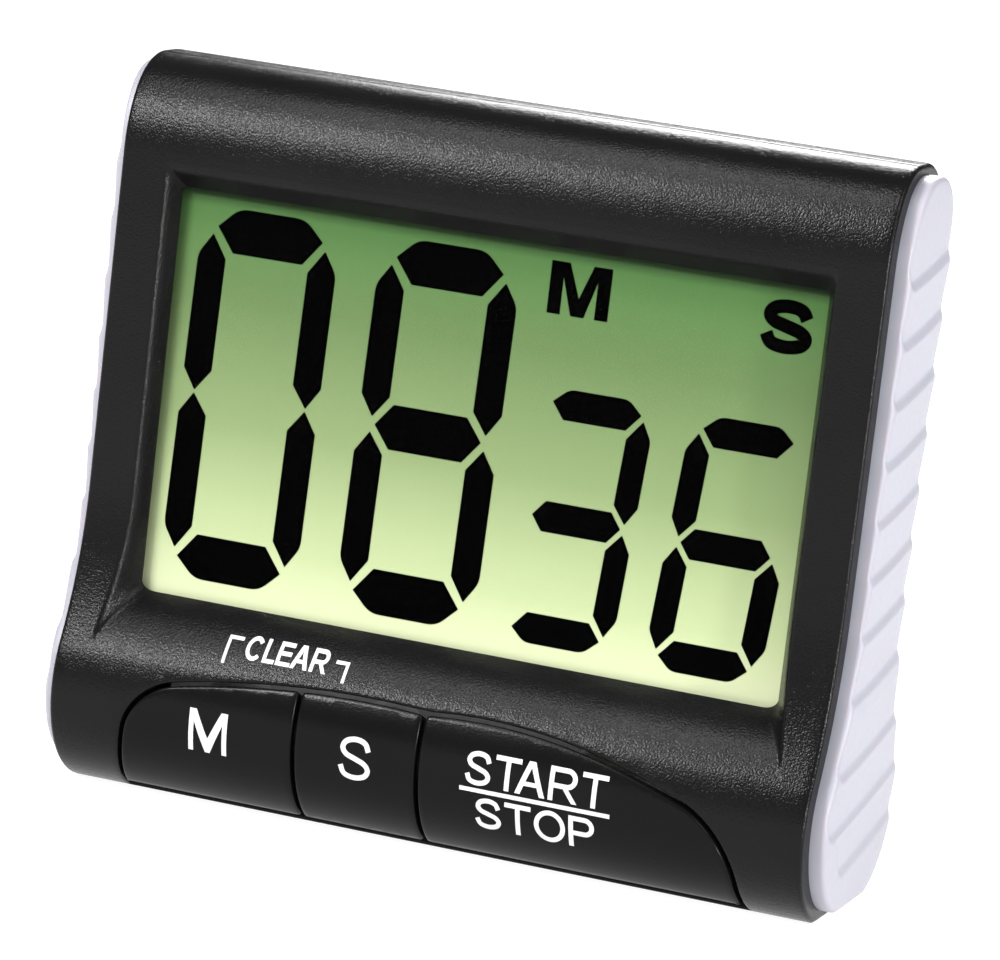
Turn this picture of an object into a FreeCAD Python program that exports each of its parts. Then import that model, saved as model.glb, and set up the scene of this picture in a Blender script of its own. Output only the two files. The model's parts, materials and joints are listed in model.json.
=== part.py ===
import FreeCAD, Part
import math
import os
import re
import Sketcher
from FreeCAD import Rotation, Vector

# Digital kitchen timer: a wavy two-part case with pale side grips, a large
# liquid-crystal display, three sprung keys on the foot, and one AAA cell
# behind a tilting door.  X is the width, the display faces -Y, +Z is up, and
# the origin is under the middle of the object's box.

doc = FreeCAD.newDocument("KitchenTimer")
sheet = doc.addObject("Spreadsheet::Sheet", "Sizes")

DRIVING = [
    # case, seen from the side
    ("case_width", 75.5), ("case_height", 70.5), ("case_wall", 1.8),
    ("upper_thickness", 16.6), ("foot_radius", 10.4), ("foot_centre_z", 10.05),
    ("foot_front", 6.3), ("foot_rear", 11.2), ("front_sweep", 38.0),
    ("rear_sweep", 30.0), ("brow_radius", 11.6), ("brow_crest", 6.3),
    ("brow_angle", 30.0), ("back_radius", 7.2), ("parting", 6.4),
    # display
    ("recess_depth", 2.1), ("recess_half", 32.0), ("recess_top", 58.5),
    ("side_draft", 0.47), ("top_draft", 0.85), ("window_low", 18.9),
    ("window_high", 59.2), ("window_half", 33.0), ("window_thickness", 0.8),
    ("polarizer_thickness", 0.2), ("glass_thickness", 0.7), ("slack", 0.1),
    ("ledge", 1.8),
    # circuit board
    ("board_front", 6.8), ("board_thickness", 1.2), ("board_half", 34.5),
    ("board_low", 5.2), ("board_high", 65.5),
    # keys
    ("key_gap", 0.4), ("key_proud", 0.15), ("key_skin", 1.6), ("key_end", 1.6),
    ("aperture_end", 3.0), ("key_travel", 1.0), ("post_radius", 1.6),
    ("post_end", 3.55), ("key_height", 8.8), ("minute_x", -22.0),
    ("second_x", -6.3), ("start_x", 15.5), ("first_split", -12.5),
    ("second_split", 0.0), ("hook_low", 11.6),
    ("hook_high", 15.2), ("hook_front", -0.1), ("hook_back", 0.7), ("web_front", -2.8),
    ("web_high", 13.0), ("dome_base", 3.9), ("dome_tip", 2.1), ("dome_wall", 0.4),
    ("mat_thickness", 0.8), ("mat_half", 29.5), ("mat_high", 13.0),
    ("pill_thickness", 0.6),
    # cell and its bay
    ("cell_radius", 5.25), ("cell_length", 43.3), ("cell_y", 14.5),
    ("cell_z", 9.3), ("bay_half", 26.0), ("bay_wall", 1.0), ("door_low", 3.6),
    ("door_high", 15.0), ("door_half", 25.6), ("door_thickness", 1.3),
    ("door_gap", 0.25),
    # grips
    ("grip_inset", 1.0), ("grip_set_back", 1.2), ("grip_bulge", 1.8),
    ("peg_radius", 1.2), ("groove_radius", 0.9), ("groove_start", 4.4),
    # sounder, magnets, hanging slot
    ("disc_radius", 10.0), ("buzzer_z", 36.0), ("magnet_radius", 6.0),
    ("magnet_thickness", 2.0), ("magnet_x", 22.0), ("magnet_z", 48.0),
    ("keyhole_radius", 3.5), ("keyhole_z", 53.0), ("slot_radius", 1.8),
    ("slot_rise", 5.5),
    # fasteners
    ("case_screw_x", 33.2), ("case_screw_high", 64.0), ("case_screw_low", 8.5),
    ("screw_radius", 0.8), ("column_radius", 2.4), ("head_radius", 1.75),
    ("head_height", 1.2), ("head_seat", 10.5), ("board_screw_top_x", 20.0),
    ("board_screw_top_z", 63.0), ("board_screw_low_x", 33.0),
    ("board_screw_low_z", 15.4),
]
for row, (alias, value) in enumerate(DRIVING, start=1):
    sheet.set("A%d" % row, alias.replace("_", " "))
    sheet.set("B%d" % row, str(value))
    sheet.setAlias("B%d" % row, alias)
sheet.set("A%d" % (len(DRIVING) + 1), "display plane")
sheet.set("B%d" % (len(DRIVING) + 1),
          "=(key_proud - foot_front - foot_rear) / 2")
sheet.setAlias("B%d" % (len(DRIVING) + 1), "face_y")
doc.recompute()

ALIASES = [alias for alias, value in DRIVING] + ["face_y"]


def size(alias):
    """Value of one cell of the sheet."""
    return float(sheet.get(alias))


def bound(text):
    """Expression in which every alias is read from the sheet."""
    return re.sub(r"[a-z][a-z_]+", lambda m: "Sizes." + m.group(0)
                  if m.group(0) in ALIASES else m.group(0), str(text))


def bind(thing, **expressions):
    """Bind properties of a document object to expressions of the sheet."""
    for name, text in expressions.items():
        thing.setExpression(name, bound(text))
    return thing


def place(thing, x="0", y="0", z="0", turn=None):
    """Put an object at x, y, z, with y counted back from the display plane."""
    if turn:
        thing.Placement = FreeCAD.Placement(Vector(), turn)
    bind(thing, **{"Placement.Base.x": x, "Placement.Base.y": "face_y + (%s)" % y,
                   "Placement.Base.z": z})
    return thing


ALONG_Y = Rotation(Vector(1, 0, 0), -90)
ALONG_X = Rotation(Vector(0, 1, 0), 90)


def block(name, x, y, z):
    """Box between two limits on each axis; each pair holds expressions."""
    box = doc.addObject("Part::Box", name)
    bind(box, Length="(%s) - (%s)" % (x[1], x[0]), Width="(%s) - (%s)" % (y[1], y[0]),
         Height="(%s) - (%s)" % (z[1], z[0]))
    return place(box, x[0], y[0], z[0])


def rod(name, radius, low, high, x="0", y="0", z="0", turn=ALONG_Y):
    """Round bar along Y between low and high, or along X when turned so."""
    bar = doc.addObject("Part::Cylinder", name)
    bind(bar, Radius=radius, Height="(%s) - (%s)" % (high, low))
    if turn is ALONG_X:
        return place(bar, low, y, z, turn)
    return place(bar, x, low, z, turn)


def solid(name, shape):
    """Part::Feature that holds a shape made from the sheet's sizes."""
    feature = doc.addObject("Part::Feature", name)
    feature.Shape = shape
    return place(feature)


def join(name, things):
    """Fuse several objects."""
    fused = doc.addObject("Part::MultiFuse", name)
    fused.Shapes = things
    return fused


def cut(name, base, *tools):
    """Take one or more objects away from a base."""
    result = doc.addObject("Part::Cut", name)
    result.Base = base
    result.Tool = tools[0] if len(tools) == 1 else join(name + "_cutters", list(tools))
    return result


def overlap(name, one, other):
    """Keep what two objects share."""
    result = doc.addObject("Part::Common", name)
    result.Base = one
    result.Tool = other
    return result


def group(name, things):
    """Several separate solids in one node."""
    result = doc.addObject("Part::Compound", name)
    result.Links = things
    return result


def plate(name, half, low, high, front, back):
    """PartDesign plate parallel to the display, centred on X."""
    body = doc.addObject("PartDesign::Body", name)
    sketch = body.newObject("Sketcher::SketchObject", name + "_outline")
    plane = [f for f in body.Origin.OriginFeatures if f.Role == "XZ_Plane"][0]
    sketch.AttachmentSupport = (plane, "")
    sketch.MapMode = "FlatFace"
    corners = [Vector(-10, 0, 0), Vector(10, 0, 0), Vector(10, 10, 0), Vector(-10, 10, 0)]
    for index in range(4):
        sketch.addGeometry(Part.LineSegment(corners[index], corners[(index + 1) % 4]), False)
    for index in range(4):
        sketch.addConstraint(Sketcher.Constraint("Coincident", index, 2, (index + 1) % 4, 1))
    sketch.addConstraint(Sketcher.Constraint("Horizontal", 2))
    sketch.addConstraint(Sketcher.Constraint("Vertical", 1))
    sketch.addConstraint(Sketcher.Constraint("Vertical", 3))
    sketch.addConstraint(Sketcher.Constraint("Symmetric", 0, 1, 0, 2, -2))
    sketch.addConstraint(Sketcher.Constraint("PointOnObject", 0, 1, -1))
    wide = sketch.addConstraint(Sketcher.Constraint("Distance", 0, 20.0))
    tall = sketch.addConstraint(Sketcher.Constraint("Distance", 1, 10.0))
    bind(sketch, **{"Constraints[%d]" % wide: "2 * (%s)" % half,
                    "Constraints[%d]" % tall: "(%s) - (%s)" % (high, low)})
    pad = body.newObject("PartDesign::Pad", name + "_pad")
    pad.Profile = sketch
    pad.Reversed = True
    bind(pad, Length="(%s) - (%s)" % (back, front))
    return place(body, "0", front, low)


# ---------------------------------------------------------------- case outline

def arc(centre, radius, start, end):
    """Arc in the YZ plane; angles in degrees from +Y towards +Z."""
    points = []
    for angle in (start, (start + end) / 2, end):
        turn = math.radians(angle)
        points.append(Vector(0, centre[0] + radius * math.cos(turn),
                             centre[1] + radius * math.sin(turn)))
    return Part.Arc(*points).toShape()


def case_outline(inset, set_back=0.0):
    """Closed side view of the case, moved inward by inset.

    A round foot with a flat sole, swept up front and back into a slim upper
    body, under a brow of two arcs.  The front can be set back further.
    """
    foot_z = size("foot_centre_z")
    foot_r = size("foot_radius")
    nose_y = size("foot_front")
    heel_y = size("foot_rear")
    back_y = size("upper_thickness")
    sweep = size("front_sweep")
    rear = size("rear_sweep")
    brow = size("brow_radius")
    crest = size("brow_crest")
    brow_turn = math.radians(size("brow_angle"))
    back_r = size("back_radius")
    top = size("case_height")
    # the sweeps are tangent to the foot and to the flat faces above it
    front_start = foot_z + math.sqrt((foot_r + sweep) ** 2 - (nose_y + sweep) ** 2)
    rear_start = foot_z + math.sqrt((foot_r + rear) ** 2 - (back_y + rear - heel_y) ** 2)
    front_angle = math.degrees(math.atan2(front_start - foot_z, -sweep - nose_y))
    rear_angle = math.degrees(math.atan2(rear_start - foot_z, back_y + rear - heel_y))
    brow_centre = (brow, top - crest - (brow - crest) * math.sin(brow_turn))
    crest_centre = (brow - (brow - crest) * math.cos(brow_turn), top - crest)
    sole = math.degrees(math.asin((foot_z - inset) / (foot_r - inset)))
    nose_y += set_back
    brow_centre = (brow_centre[0] + set_back, brow_centre[1])
    crest_centre = (crest_centre[0] + set_back, crest_centre[1])
    edges = [
        arc((nose_y, foot_z), foot_r - inset, 180 + sole, front_angle),
        arc((set_back - sweep, front_start), sweep + inset, front_angle - 180, 0),
        arc(brow_centre, brow - inset, 180, 180 - math.degrees(brow_turn)),
        arc(crest_centre, crest - inset, 180 - math.degrees(brow_turn), 90),
        arc((back_y - back_r, top - back_r), back_r - inset, 90, 0),
        arc((back_y + rear, rear_start), rear + inset, 180, 180 + rear_angle),
        arc((heel_y, foot_z), foot_r - inset, rear_angle, -sole),
    ]
    closed = []
    for index, edge in enumerate(edges):
        following = edges[(index + 1) % len(edges)]
        closed.append(edge)
        leave = edge.valueAt(edge.LastParameter)
        arrive = following.valueAt(following.FirstParameter)
        if leave.distanceToPoint(arrive) > 1e-6:
            closed.append(Part.LineSegment(leave, arrive).toShape())
    return Part.Wire(closed)


def case_prism(inset, half_width):
    """The case outline drawn out to both sides of the middle."""
    face = Part.Face(case_outline(inset))
    face.translate(Vector(-half_width, 0, 0))
    return face.extrude(Vector(2 * half_width, 0, 0))


HALF = size("case_width") / 2
WALL = size("case_wall")
FAR = 60.0

case_block = solid("case_block", case_prism(0, HALF))
case_cavity = solid("case_cavity", case_prism(WALL, HALF - WALL))
front_half = block("front_half", (-FAR, FAR), (-FAR, "parting"), (-FAR, 2 * FAR))
rear_half = block("rear_half", (-FAR, FAR), ("parting", FAR), (-FAR, 2 * FAR))


def wedge(name, grow, end):
    """Drafted display recess: it widens towards the front and the top."""
    reach = "(%s + foot_radius)" % end
    shape = doc.addObject("Part::Wedge", name)
    wide = "recess_half + %s" % grow
    bind(shape, Xmin="-(%s) - side_draft * %s" % (wide, reach),
         Xmax="%s + side_draft * %s" % (wide, reach), X2min="-(%s)" % wide, X2max=wide,
         Ymin="-foot_radius", Ymax=end, Zmin="foot_centre_z", Z2min="foot_centre_z",
         Z2max="recess_top + %s" % grow,
         Zmax="recess_top + %s + top_draft * %s" % (grow, reach))
    return place(shape)


def foot_bar(name, less):
    """Round front of the foot, which runs on between the rails."""
    return rod(name, "foot_radius - %s" % less, -FAR, FAR, y="foot_front",
               z="foot_centre_z", turn=ALONG_X)


recess = cut("recess", wedge("recess_wedge", "0", "recess_depth"), foot_bar("nose_bar", "0"))
backing = cut("backing", wedge("backing_wedge", "case_wall", "recess_depth + case_wall"),
              foot_bar("nose_inner_bar", "case_wall"))


# ------------------------------------------------------------------------ keys

def key_outline(margin, left, right):
    """Front view of the key panel between two x limits, shrunk by margin."""
    edge = size("case_width")
    points = [(-31.8, -2.0), (-30.3, 7.4), (-28.9, 10.3), (-25.6, 12.5), (-16.0, 14.0),
              (0.0, 14.35), (14.0, 14.0), (25.0, 11.1), (29.6, 7.9), (31.3, 4.0),
              (31.9, -2.0)]
    at = [Vector(x, -edge / 2, z) for x, z in points]
    edges = [Part.LineSegment(at[0], at[1]), Part.Arc(at[1], at[2], at[3]),
             Part.Arc(at[3], at[4], at[5]), Part.Arc(at[5], at[6], at[7]),
             Part.Arc(at[7], at[8], at[9]), Part.LineSegment(at[9], at[10]),
             Part.LineSegment(at[10], at[0])]
    face = Part.Face(Part.Wire([e.toShape() for e in edges]))
    if margin:
        face = face.makeOffset2D(-margin)
    column = Part.makeBox(right - left, 2 * edge, 2 * edge, Vector(left, -edge, -edge))
    return face.extrude(Vector(0, edge, 0)).common(column)


GAP = size("key_gap")
WEB_HALF = 1.0
HOOK_HALF = 2.5
SPLITS = (-HALF, size("first_split"), size("second_split"), HALF)
KEYS = (("minute", "minute_x", (-18.5,)), ("second", "second_x", (-6.3,)),
        ("start_stop", "start_x", (5.0, 15.0)))

aperture = overlap("aperture", solid("aperture_prism", key_outline(0, -HALF, HALF)),
                   block("aperture_reach", (-FAR, FAR), (-FAR, "aperture_end"), (-FAR, FAR)))


def key(index):
    """One key: a curved skin on the foot, a post to the mat and retaining hooks."""
    name, centre, hooks = KEYS[index]
    left = SPLITS[index] + GAP / 2
    right = SPLITS[index + 1] - GAP / 2
    outline = solid(name + "_outline", key_outline(GAP, left, right))
    skin = cut(name + "_ring", foot_bar(name + "_outer", "(-key_proud)"),
               foot_bar(name + "_inner", "(key_skin - key_proud)"))
    ahead = block(name + "_ahead", (-FAR, FAR), (-FAR, "key_end"), (-FAR, FAR))
    face = overlap(name + "_face", overlap(name + "_skin", skin, outline), ahead)
    pieces = [face, rod(name + "_post", "post_radius", "foot_front - foot_radius + 0.8",
                        "post_end", x=centre, z="key_height")]
    for number, x in enumerate(hooks):
        pieces.append(block("%s_web_%d" % (name, number), (x - WEB_HALF, x + WEB_HALF),
                            ("web_front", "hook_back"), ("hook_low", "web_high")))
        pieces.append(block("%s_hook_%d" % (name, number), (x - HOOK_HALF, x + HOOK_HALF),
                            ("hook_front", "hook_back"), ("hook_low", "hook_high")))
    return join(name + "_button", pieces)


MAT_FRONT = "board_front - mat_thickness"
DOME_INSIDE = "post_end + 1.55"


def pill(index):
    """Carbon pill under a key's dome, which closes the contact on the board."""
    name, centre, hooks = KEYS[index]
    return rod(name + "_pill", "post_radius - 0.1", DOME_INSIDE,
               DOME_INSIDE + " + pill_thickness", x=centre, z="key_height")


def mat():
    """Rubber mat on the board, with one hollow dome under each key."""
    sheet_part = block("mat_sheet", ("-mat_half", "mat_half"), (MAT_FRONT, "board_front"),
                       ("board_low + 0.3", "mat_high"))
    domes = []
    hollows = []
    for name, centre, hooks in KEYS:
        for group_list, label, low, high, top in (
                (domes, "dome", "dome_base", "dome_tip", "post_end + 0.05"),
                (hollows, "hollow", "dome_base - dome_wall", "dome_tip - dome_wall",
                 DOME_INSIDE)):
            cone = doc.addObject("Part::Cone", "%s_%s" % (name, label))
            bind(cone, Radius1=high, Radius2=low, Height="%s - (%s)" % (MAT_FRONT, top))
            place(cone, centre, top, "key_height", ALONG_Y)
            group_list.append(cone)
        hollows.append(rod(name + "_well", "dome_base - dome_wall", MAT_FRONT + " - 0.01",
                           "board_front + 1", x=centre, z="key_height"))
    return cut("keypad_mat", join("mat_body", [sheet_part] + domes), *hollows)


# ------------------------------------------------------------------ case parts

SCREW_SPOTS = [(side + "case_screw_x", height) for side in ("-", "")
               for height in ("case_screw_low", "case_screw_high")]
BOARD_SPOTS = [(side + "board_screw_top_x", "board_screw_top_z") for side in ("-", "")]
BOARD_SPOTS += [(side + "board_screw_low_x", "board_screw_low_z") for side in ("-", "")]


def peg_spots():
    """Places of the grip pegs: behind the parting, at three heights."""
    return [("11.0", "62.0"), ("11.0", "34.0"), ("13.5", "4.6")]


def front_shell():
    """Front moulding: brow, rails, drafted recess, key aperture and posts."""
    hollow = cut("front_hollow", case_cavity, backing)
    shell = overlap("front_blank", cut("front_skin", case_block, hollow), front_half)
    posts = []
    pilots = []
    for number, (x, z) in enumerate(SCREW_SPOTS):
        posts.append(rod("front_post_%d" % number, "column_radius", "-foot_front", "parting",
                         x=x, z=z))
        pilots.append(rod("front_pilot_%d" % number, "screw_radius + 0.05", "1.5",
                          "parting + 1", x=x, z=z))
    for number, (x, z) in enumerate(BOARD_SPOTS):
        posts.append(rod("board_post_%d" % number, "1.6", "-foot_front", "board_front",
                         x=x, z=z))
        pilots.append(rod("board_pilot_%d" % number, "screw_radius + 0.05", "3.0",
                          "board_front + 1", x=x, z=z))
    held = overlap("front_posts", join("front_post_set", posts), case_cavity)
    window = block("window_way", ("-recess_half", "recess_half"), (0, "recess_depth + 3"),
                   ("window_low + 0.7", "recess_top"))
    rabbet = block("window_rabbet", ("-window_half - slack", "window_half + slack"),
                   ("recess_depth", "recess_depth + 3"),
                   ("window_low - slack", "window_high + slack"))
    body = join("front_body", [shell, held])
    return cut("front_shell", body, recess, aperture, window, rabbet, *pilots)


def door_sector(name, margin, outer, inner):
    """Part of the foot's round back that the battery door closes."""
    centre = Vector(0, size("foot_rear"), size("foot_centre_z"))
    low = math.degrees(math.asin((size("door_low") - centre.z) / size("foot_radius")))
    high = math.degrees(math.asin((size("door_high") - centre.z) / size("foot_radius")))
    spare = math.degrees(margin / size("foot_radius"))
    half = size("door_half") + margin
    outside = arc((centre.y, centre.z), outer, low - spare, high + spare)
    inside = arc((centre.y, centre.z), inner, high + spare, low - spare)
    ends = [Part.LineSegment(outside.valueAt(outside.LastParameter),
                             inside.valueAt(inside.FirstParameter)).toShape(),
            Part.LineSegment(inside.valueAt(inside.LastParameter),
                             outside.valueAt(outside.FirstParameter)).toShape()]
    face = Part.Face(Part.Wire([outside, ends[0], inside, ends[1]]))
    face.translate(Vector(-half, 0, 0))
    return solid(name, face.extrude(Vector(2 * half, 0, 0)))


def rear_cover():
    """Rear moulding: battery bay, sounder seat, magnet pockets, hanging slot."""
    shell = overlap("rear_blank", cut("rear_skin", case_block, case_cavity), rear_half)
    bay = cut("bay_box",
              block("bay_outer", ("-bay_half - bay_wall", "bay_half + bay_wall"),
                    ("cell_y - cell_radius - 0.2 - bay_wall", FAR),
                    (-1, "cell_z + cell_radius + 0.3 + bay_wall")),
              block("bay_inner", ("-bay_half", "bay_half"),
                    ("cell_y - cell_radius - 0.2", FAR + 1),
                    (-2, "cell_z + cell_radius + 0.3")))
    columns = []
    bores = []
    for number, (x, z) in enumerate(SCREW_SPOTS):
        columns.append(rod("column_%d" % number, "column_radius", "parting", FAR, x=x, z=z))
        bores.append(rod("bore_%d" % number, "screw_radius + 0.3", "parting - 1", FAR,
                         x=x, z=z))
        bores.append(rod("sink_%d" % number, "head_radius + 0.2", "head_seat", FAR,
                         x=x, z=z))
    seat = cut("buzzer_seat",
               rod("seat_outer", "disc_radius + 1.2", "upper_thickness - case_wall - 2.4",
                   "upper_thickness - 1", z="buzzer_z"),
               rod("seat_inner", "disc_radius + 0.2", "upper_thickness - case_wall - 3",
                   "upper_thickness - case_wall", z="buzzer_z"))
    pockets = []
    cups = []
    for number, side in enumerate(("-", "")):
        cups.append(rod("cup_%d" % number, "magnet_radius + 1.2",
                        "upper_thickness - magnet_thickness - 1.2", "upper_thickness - 1",
                        x=side + "magnet_x", z="magnet_z"))
        pockets.append(rod("pocket_%d" % number, "magnet_radius + 0.1",
                           "upper_thickness - magnet_thickness - 0.1", FAR,
                           x=side + "magnet_x", z="magnet_z"))
    holes = [rod("keyhole_round", "keyhole_radius", "parting + 5", FAR, z="keyhole_z"),
             rod("keyhole_end", "slot_radius", "parting + 5", FAR,
                 z="keyhole_z + slot_rise"),
             block("keyhole_slot", ("-slot_radius", "slot_radius"), ("parting + 5", FAR),
                   ("keyhole_z", "keyhole_z + slot_rise"))]
    for number, x in enumerate((-3.0, 0.0, 3.0)):
        holes.append(rod("sound_%d" % number, "0.7", "parting + 5", FAR, x=x, z="buzzer_z"))
    for number, (y, z) in enumerate(peg_spots()):
        holes.append(rod("peg_hole_%d" % number, "peg_radius + 0.05", -FAR, FAR, y=y, z=z,
                         turn=ALONG_X))
    inside = join("rear_ribs", [bay, seat] + columns + cups)
    held = overlap("rear_held", overlap("rear_kept", inside, case_block), rear_half)
    opening = door_sector("door_way", size("door_gap"), size("foot_radius") + 3,
                          size("foot_radius") - 3)
    return cut("rear_cover", join("rear_body", [shell, held]), opening, *(
        bores + pockets + holes))


GROOVE_HEIGHTS = (59.0, 53.5, 48.0, 42.4, 37.0, 31.6, 26.4, 19.7, 12.9, 8.0)
GROOVE_RISE = 0.18
GROOVE_LIFT = 0.55


def grip(name, side):
    """Soft side cap with slanted grooves, on three pegs."""
    bulge = size("grip_bulge")
    outline = Part.Face(case_outline(size("grip_inset"), size("grip_set_back")))
    outline.translate(Vector(side * HALF, 0, 0))
    cap = outline.extrude(Vector(side * bulge, 0, 0))
    lift = side * (HALF + bulge + GROOVE_LIFT)
    for height in GROOVE_HEIGHTS:
        start = Vector(lift, size("groove_start"), height + size("groove_radius"))
        cap = cap.cut(Part.makeCylinder(size("groove_radius"), FAR, start,
                                        Vector(0, 1, GROOVE_RISE)))
    blank = solid(name + "_blank", cap)
    pegs = []
    for number, (y, z) in enumerate(peg_spots()):
        ends = ("case_width / 2 - 1.2", "case_width / 2 + 0.3") if side > 0 else (
            "-case_width / 2 - 0.3", "-case_width / 2 + 1.2")
        pegs.append(rod("%s_peg_%d" % (name, number), "peg_radius", ends[0], ends[1], y=y,
                        z=z, turn=ALONG_X))
    return join(name, [blank] + pegs)


def battery_door():
    """Curved door on the foot's back, over the cell."""
    return door_sector("battery_door", 0, size("foot_radius"),
                       size("foot_radius") - size("door_thickness"))


# ------------------------------------------------------- display and electronics

FRONT_POLARIZER = "recess_depth + window_thickness + slack"
FRONT_GLASS = FRONT_POLARIZER + " + polarizer_thickness"
REAR_GLASS = FRONT_GLASS + " + glass_thickness"
REFLECTOR = REAR_GLASS + " + glass_thickness"
REFLECTOR_BACK = REFLECTOR + " + polarizer_thickness"


def display_bezel():
    """Frame that clamps the glass between the window and the board."""
    frame = block("bezel_block", ("-35.4", "35.4"), ("recess_depth + case_wall + 0.05",
                  "board_front"), ("window_low - 1.3", "window_high + 1.4"))
    glass = block("bezel_glass", ("-window_half - 0.1", "window_half + 0.1"),
                  ("0", REFLECTOR_BACK), ("window_low - 0.1", "window_high + 0.1"))
    light = block("bezel_light", ("-31.0", "31.0"), ("0", "board_front + 1"),
                  ("window_low + 2", "window_high - 4"))
    slot = block("bezel_slot", ("-30.2", "30.2"), ("0", "board_front + 1"),
                 ("window_high - 1.5", "window_high + 0.1"))
    return cut("display_bezel", frame, glass, light, slot)


def circuit_board():
    """Board with notched corners for the case posts and four screw holes."""
    board = plate("board_blank", "board_half", "board_low", "board_high", "board_front",
                  "board_front + board_thickness")
    away = []
    for number, (x, z) in enumerate(SCREW_SPOTS):
        away.append(block("notch_%d" % number, (x + " - 3.2", x + " + 3.2"), (0, 20),
                          (z + " - 4.2", z + " + 3.4")))
    for number, (x, z) in enumerate(BOARD_SPOTS):
        away.append(rod("board_hole_%d" % number, "screw_radius + 0.2", 0, 20, x=x, z=z))
    return cut("circuit_board", board, *away)


BLOB_RADIUS = 9.0
BLOB_ANGLE = 55.0
BLOB_Z = "26"
COMPONENT_DEPTH = 0.7


def chip_blob():
    """Black resin dome over the bonded controller chip."""
    dome = doc.addObject("Part::Sphere", "controller_blob")
    dome.Angle1 = BLOB_ANGLE
    dome.Radius = BLOB_RADIUS
    sunk = BLOB_RADIUS * math.sin(math.radians(BLOB_ANGLE))
    return place(dome, "0", "board_front + board_thickness - %.3f" % sunk, BLOB_Z, ALONG_Y)


def small_components():
    """Resistors and capacitors on the back of the board: x, z, width and height."""
    spots = [(-20, 24, 3.2, 1.6), (-20, 29, 3.2, 1.6), (-14, 33, 1.6, 3.2),
             (14, 33, 1.6, 3.2), (20, 24, 3.2, 1.6), (20, 29, 2.0, 1.2)]
    back = "board_front + board_thickness"
    pieces = []
    for number, (x, z, wide, tall) in enumerate(spots):
        pieces.append(block("component_%d" % number, (x - wide / 2, x + wide / 2),
                            (back, "%s + %s" % (back, COMPONENT_DEPTH)),
                            (z - tall / 2, z + tall / 2)))
    return group("board_components", pieces)


def screw(name, x, z, seat, length):
    """Pan-head screw whose head sits on y = seat and whose shank runs forward."""
    head = rod(name + "_head", "head_radius", seat, "%s + head_height" % seat, x=x, z=z)
    shank = rod(name + "_shank", "screw_radius", "%s - %s" % (seat, length),
                "%s + 0.1" % seat, x=x, z=z)
    return cut(name, join(name + "_blank", [head, shank]),
               block(name + "_drive_a", ("%s - 1.0" % x, "%s + 1.0" % x),
                     ("%s + head_height - 0.5" % seat, 40), ("%s - 0.2" % z, "%s + 0.2" % z)),
               block(name + "_drive_b", ("%s - 0.2" % x, "%s + 0.2" % x),
                     ("%s + head_height - 0.5" % seat, 40), ("%s - 1.0" % z, "%s + 1.0" % z)))


def wire(name, points, bend, radius):
    """Insulated lead: straight runs joined by tangent arcs."""
    at = [Vector(*p) for p in points]
    edges = []
    start = at[0]
    for before, corner, after in zip(at, at[1:], at[2:]):
        into = (corner - before).normalize()
        out = (after - corner).normalize()
        half = into.getAngle(out) / 2
        trim = bend * math.tan(half)
        first = corner - into * trim
        last = corner + out * trim
        middle = corner + (out - into).normalize() * (bend / math.cos(half) - bend)
        edges.append(Part.LineSegment(start, first).toShape())
        edges.append(Part.Arc(first, middle, last).toShape())
        start = last
    edges.append(Part.LineSegment(start, at[-1]).toShape())
    path = Part.Wire(edges)
    ring = Part.Wire(Part.makeCircle(radius, at[0], (at[1] - at[0])))
    return solid(name, path.makePipeShell([ring], True, False))


def spring():
    """Leaf spring of the cell's negative end: a thin strip bowed towards the can."""
    foot = "-bay_half + 0.6"
    bow = "bay_half - 0.6 - cell_length / 2"
    ring = cut("leaf_ring",
               rod("leaf_outer", bow, "cell_y - 2.5", "cell_y + 2.5", x=foot, z="cell_z"),
               rod("leaf_inner", bow + " - 0.3", "cell_y - 3", "cell_y + 3", x=foot,
                   z="cell_z"))
    return overlap("negative_spring", ring,
                   block("leaf_side", (foot, 0), (-FAR, FAR), (-FAR, FAR)))


def cell():
    """AAA cell: steel can with its positive button towards +X."""
    can = rod("battery_can", "cell_radius", "-cell_length / 2", "cell_length / 2",
              y="cell_y", z="cell_z", turn=ALONG_X)
    cap = join("battery_cap", [
        rod("cap_washer", "cell_radius - 0.8", "cell_length / 2", "cell_length / 2 + 0.2",
            y="cell_y", z="cell_z", turn=ALONG_X),
        rod("cap_button", "1.9", "cell_length / 2", "cell_length / 2 + 1.2", y="cell_y",
            z="cell_z", turn=ALONG_X)])
    return [can, cap]


def contacts():
    """Plated steel plates at the two ends of the bay."""
    low = ("cell_y - 4", "cell_y + 4")
    tall = ("cell_z - 4", "cell_z + 4")
    positive = block("positive_contact", ("bay_half - 1.2", "bay_half - 0.8"), low, tall)
    negative = block("negative_contact", ("-bay_half + 0.2", "-bay_half + 0.6"), low, tall)
    return [positive, negative]


BOARD_BACK = size("board_front") + size("board_thickness")
DISC = "upper_thickness - case_wall - 1.4"

nodes = [front_shell(), rear_cover()]
nodes += [grip("left_side_grip", -1), grip("right_side_grip", 1)]
nodes += [key(index) for index in range(3)]
nodes += [pill(index) for index in range(3)]
nodes.append(mat())
nodes.append(plate("display_window", "window_half", "window_low", "window_high",
                   "recess_depth", "recess_depth + window_thickness"))
nodes.append(plate("lcd_front_polarizer", "window_half - 0.5", "window_low + 0.4",
                   "window_high - 0.4", FRONT_POLARIZER, FRONT_GLASS))
nodes.append(plate("lcd_front_glass", "window_half", "window_low", "window_high",
                   FRONT_GLASS, REAR_GLASS))
nodes.append(plate("lcd_rear_glass", "window_half", "window_low", "window_high - ledge",
                   REAR_GLASS, REFLECTOR))
nodes.append(plate("lcd_reflector", "window_half - 0.5", "window_low + 0.4",
                   "window_high - ledge - 0.4", REFLECTOR, REFLECTOR_BACK))
nodes.append(display_bezel())
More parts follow.
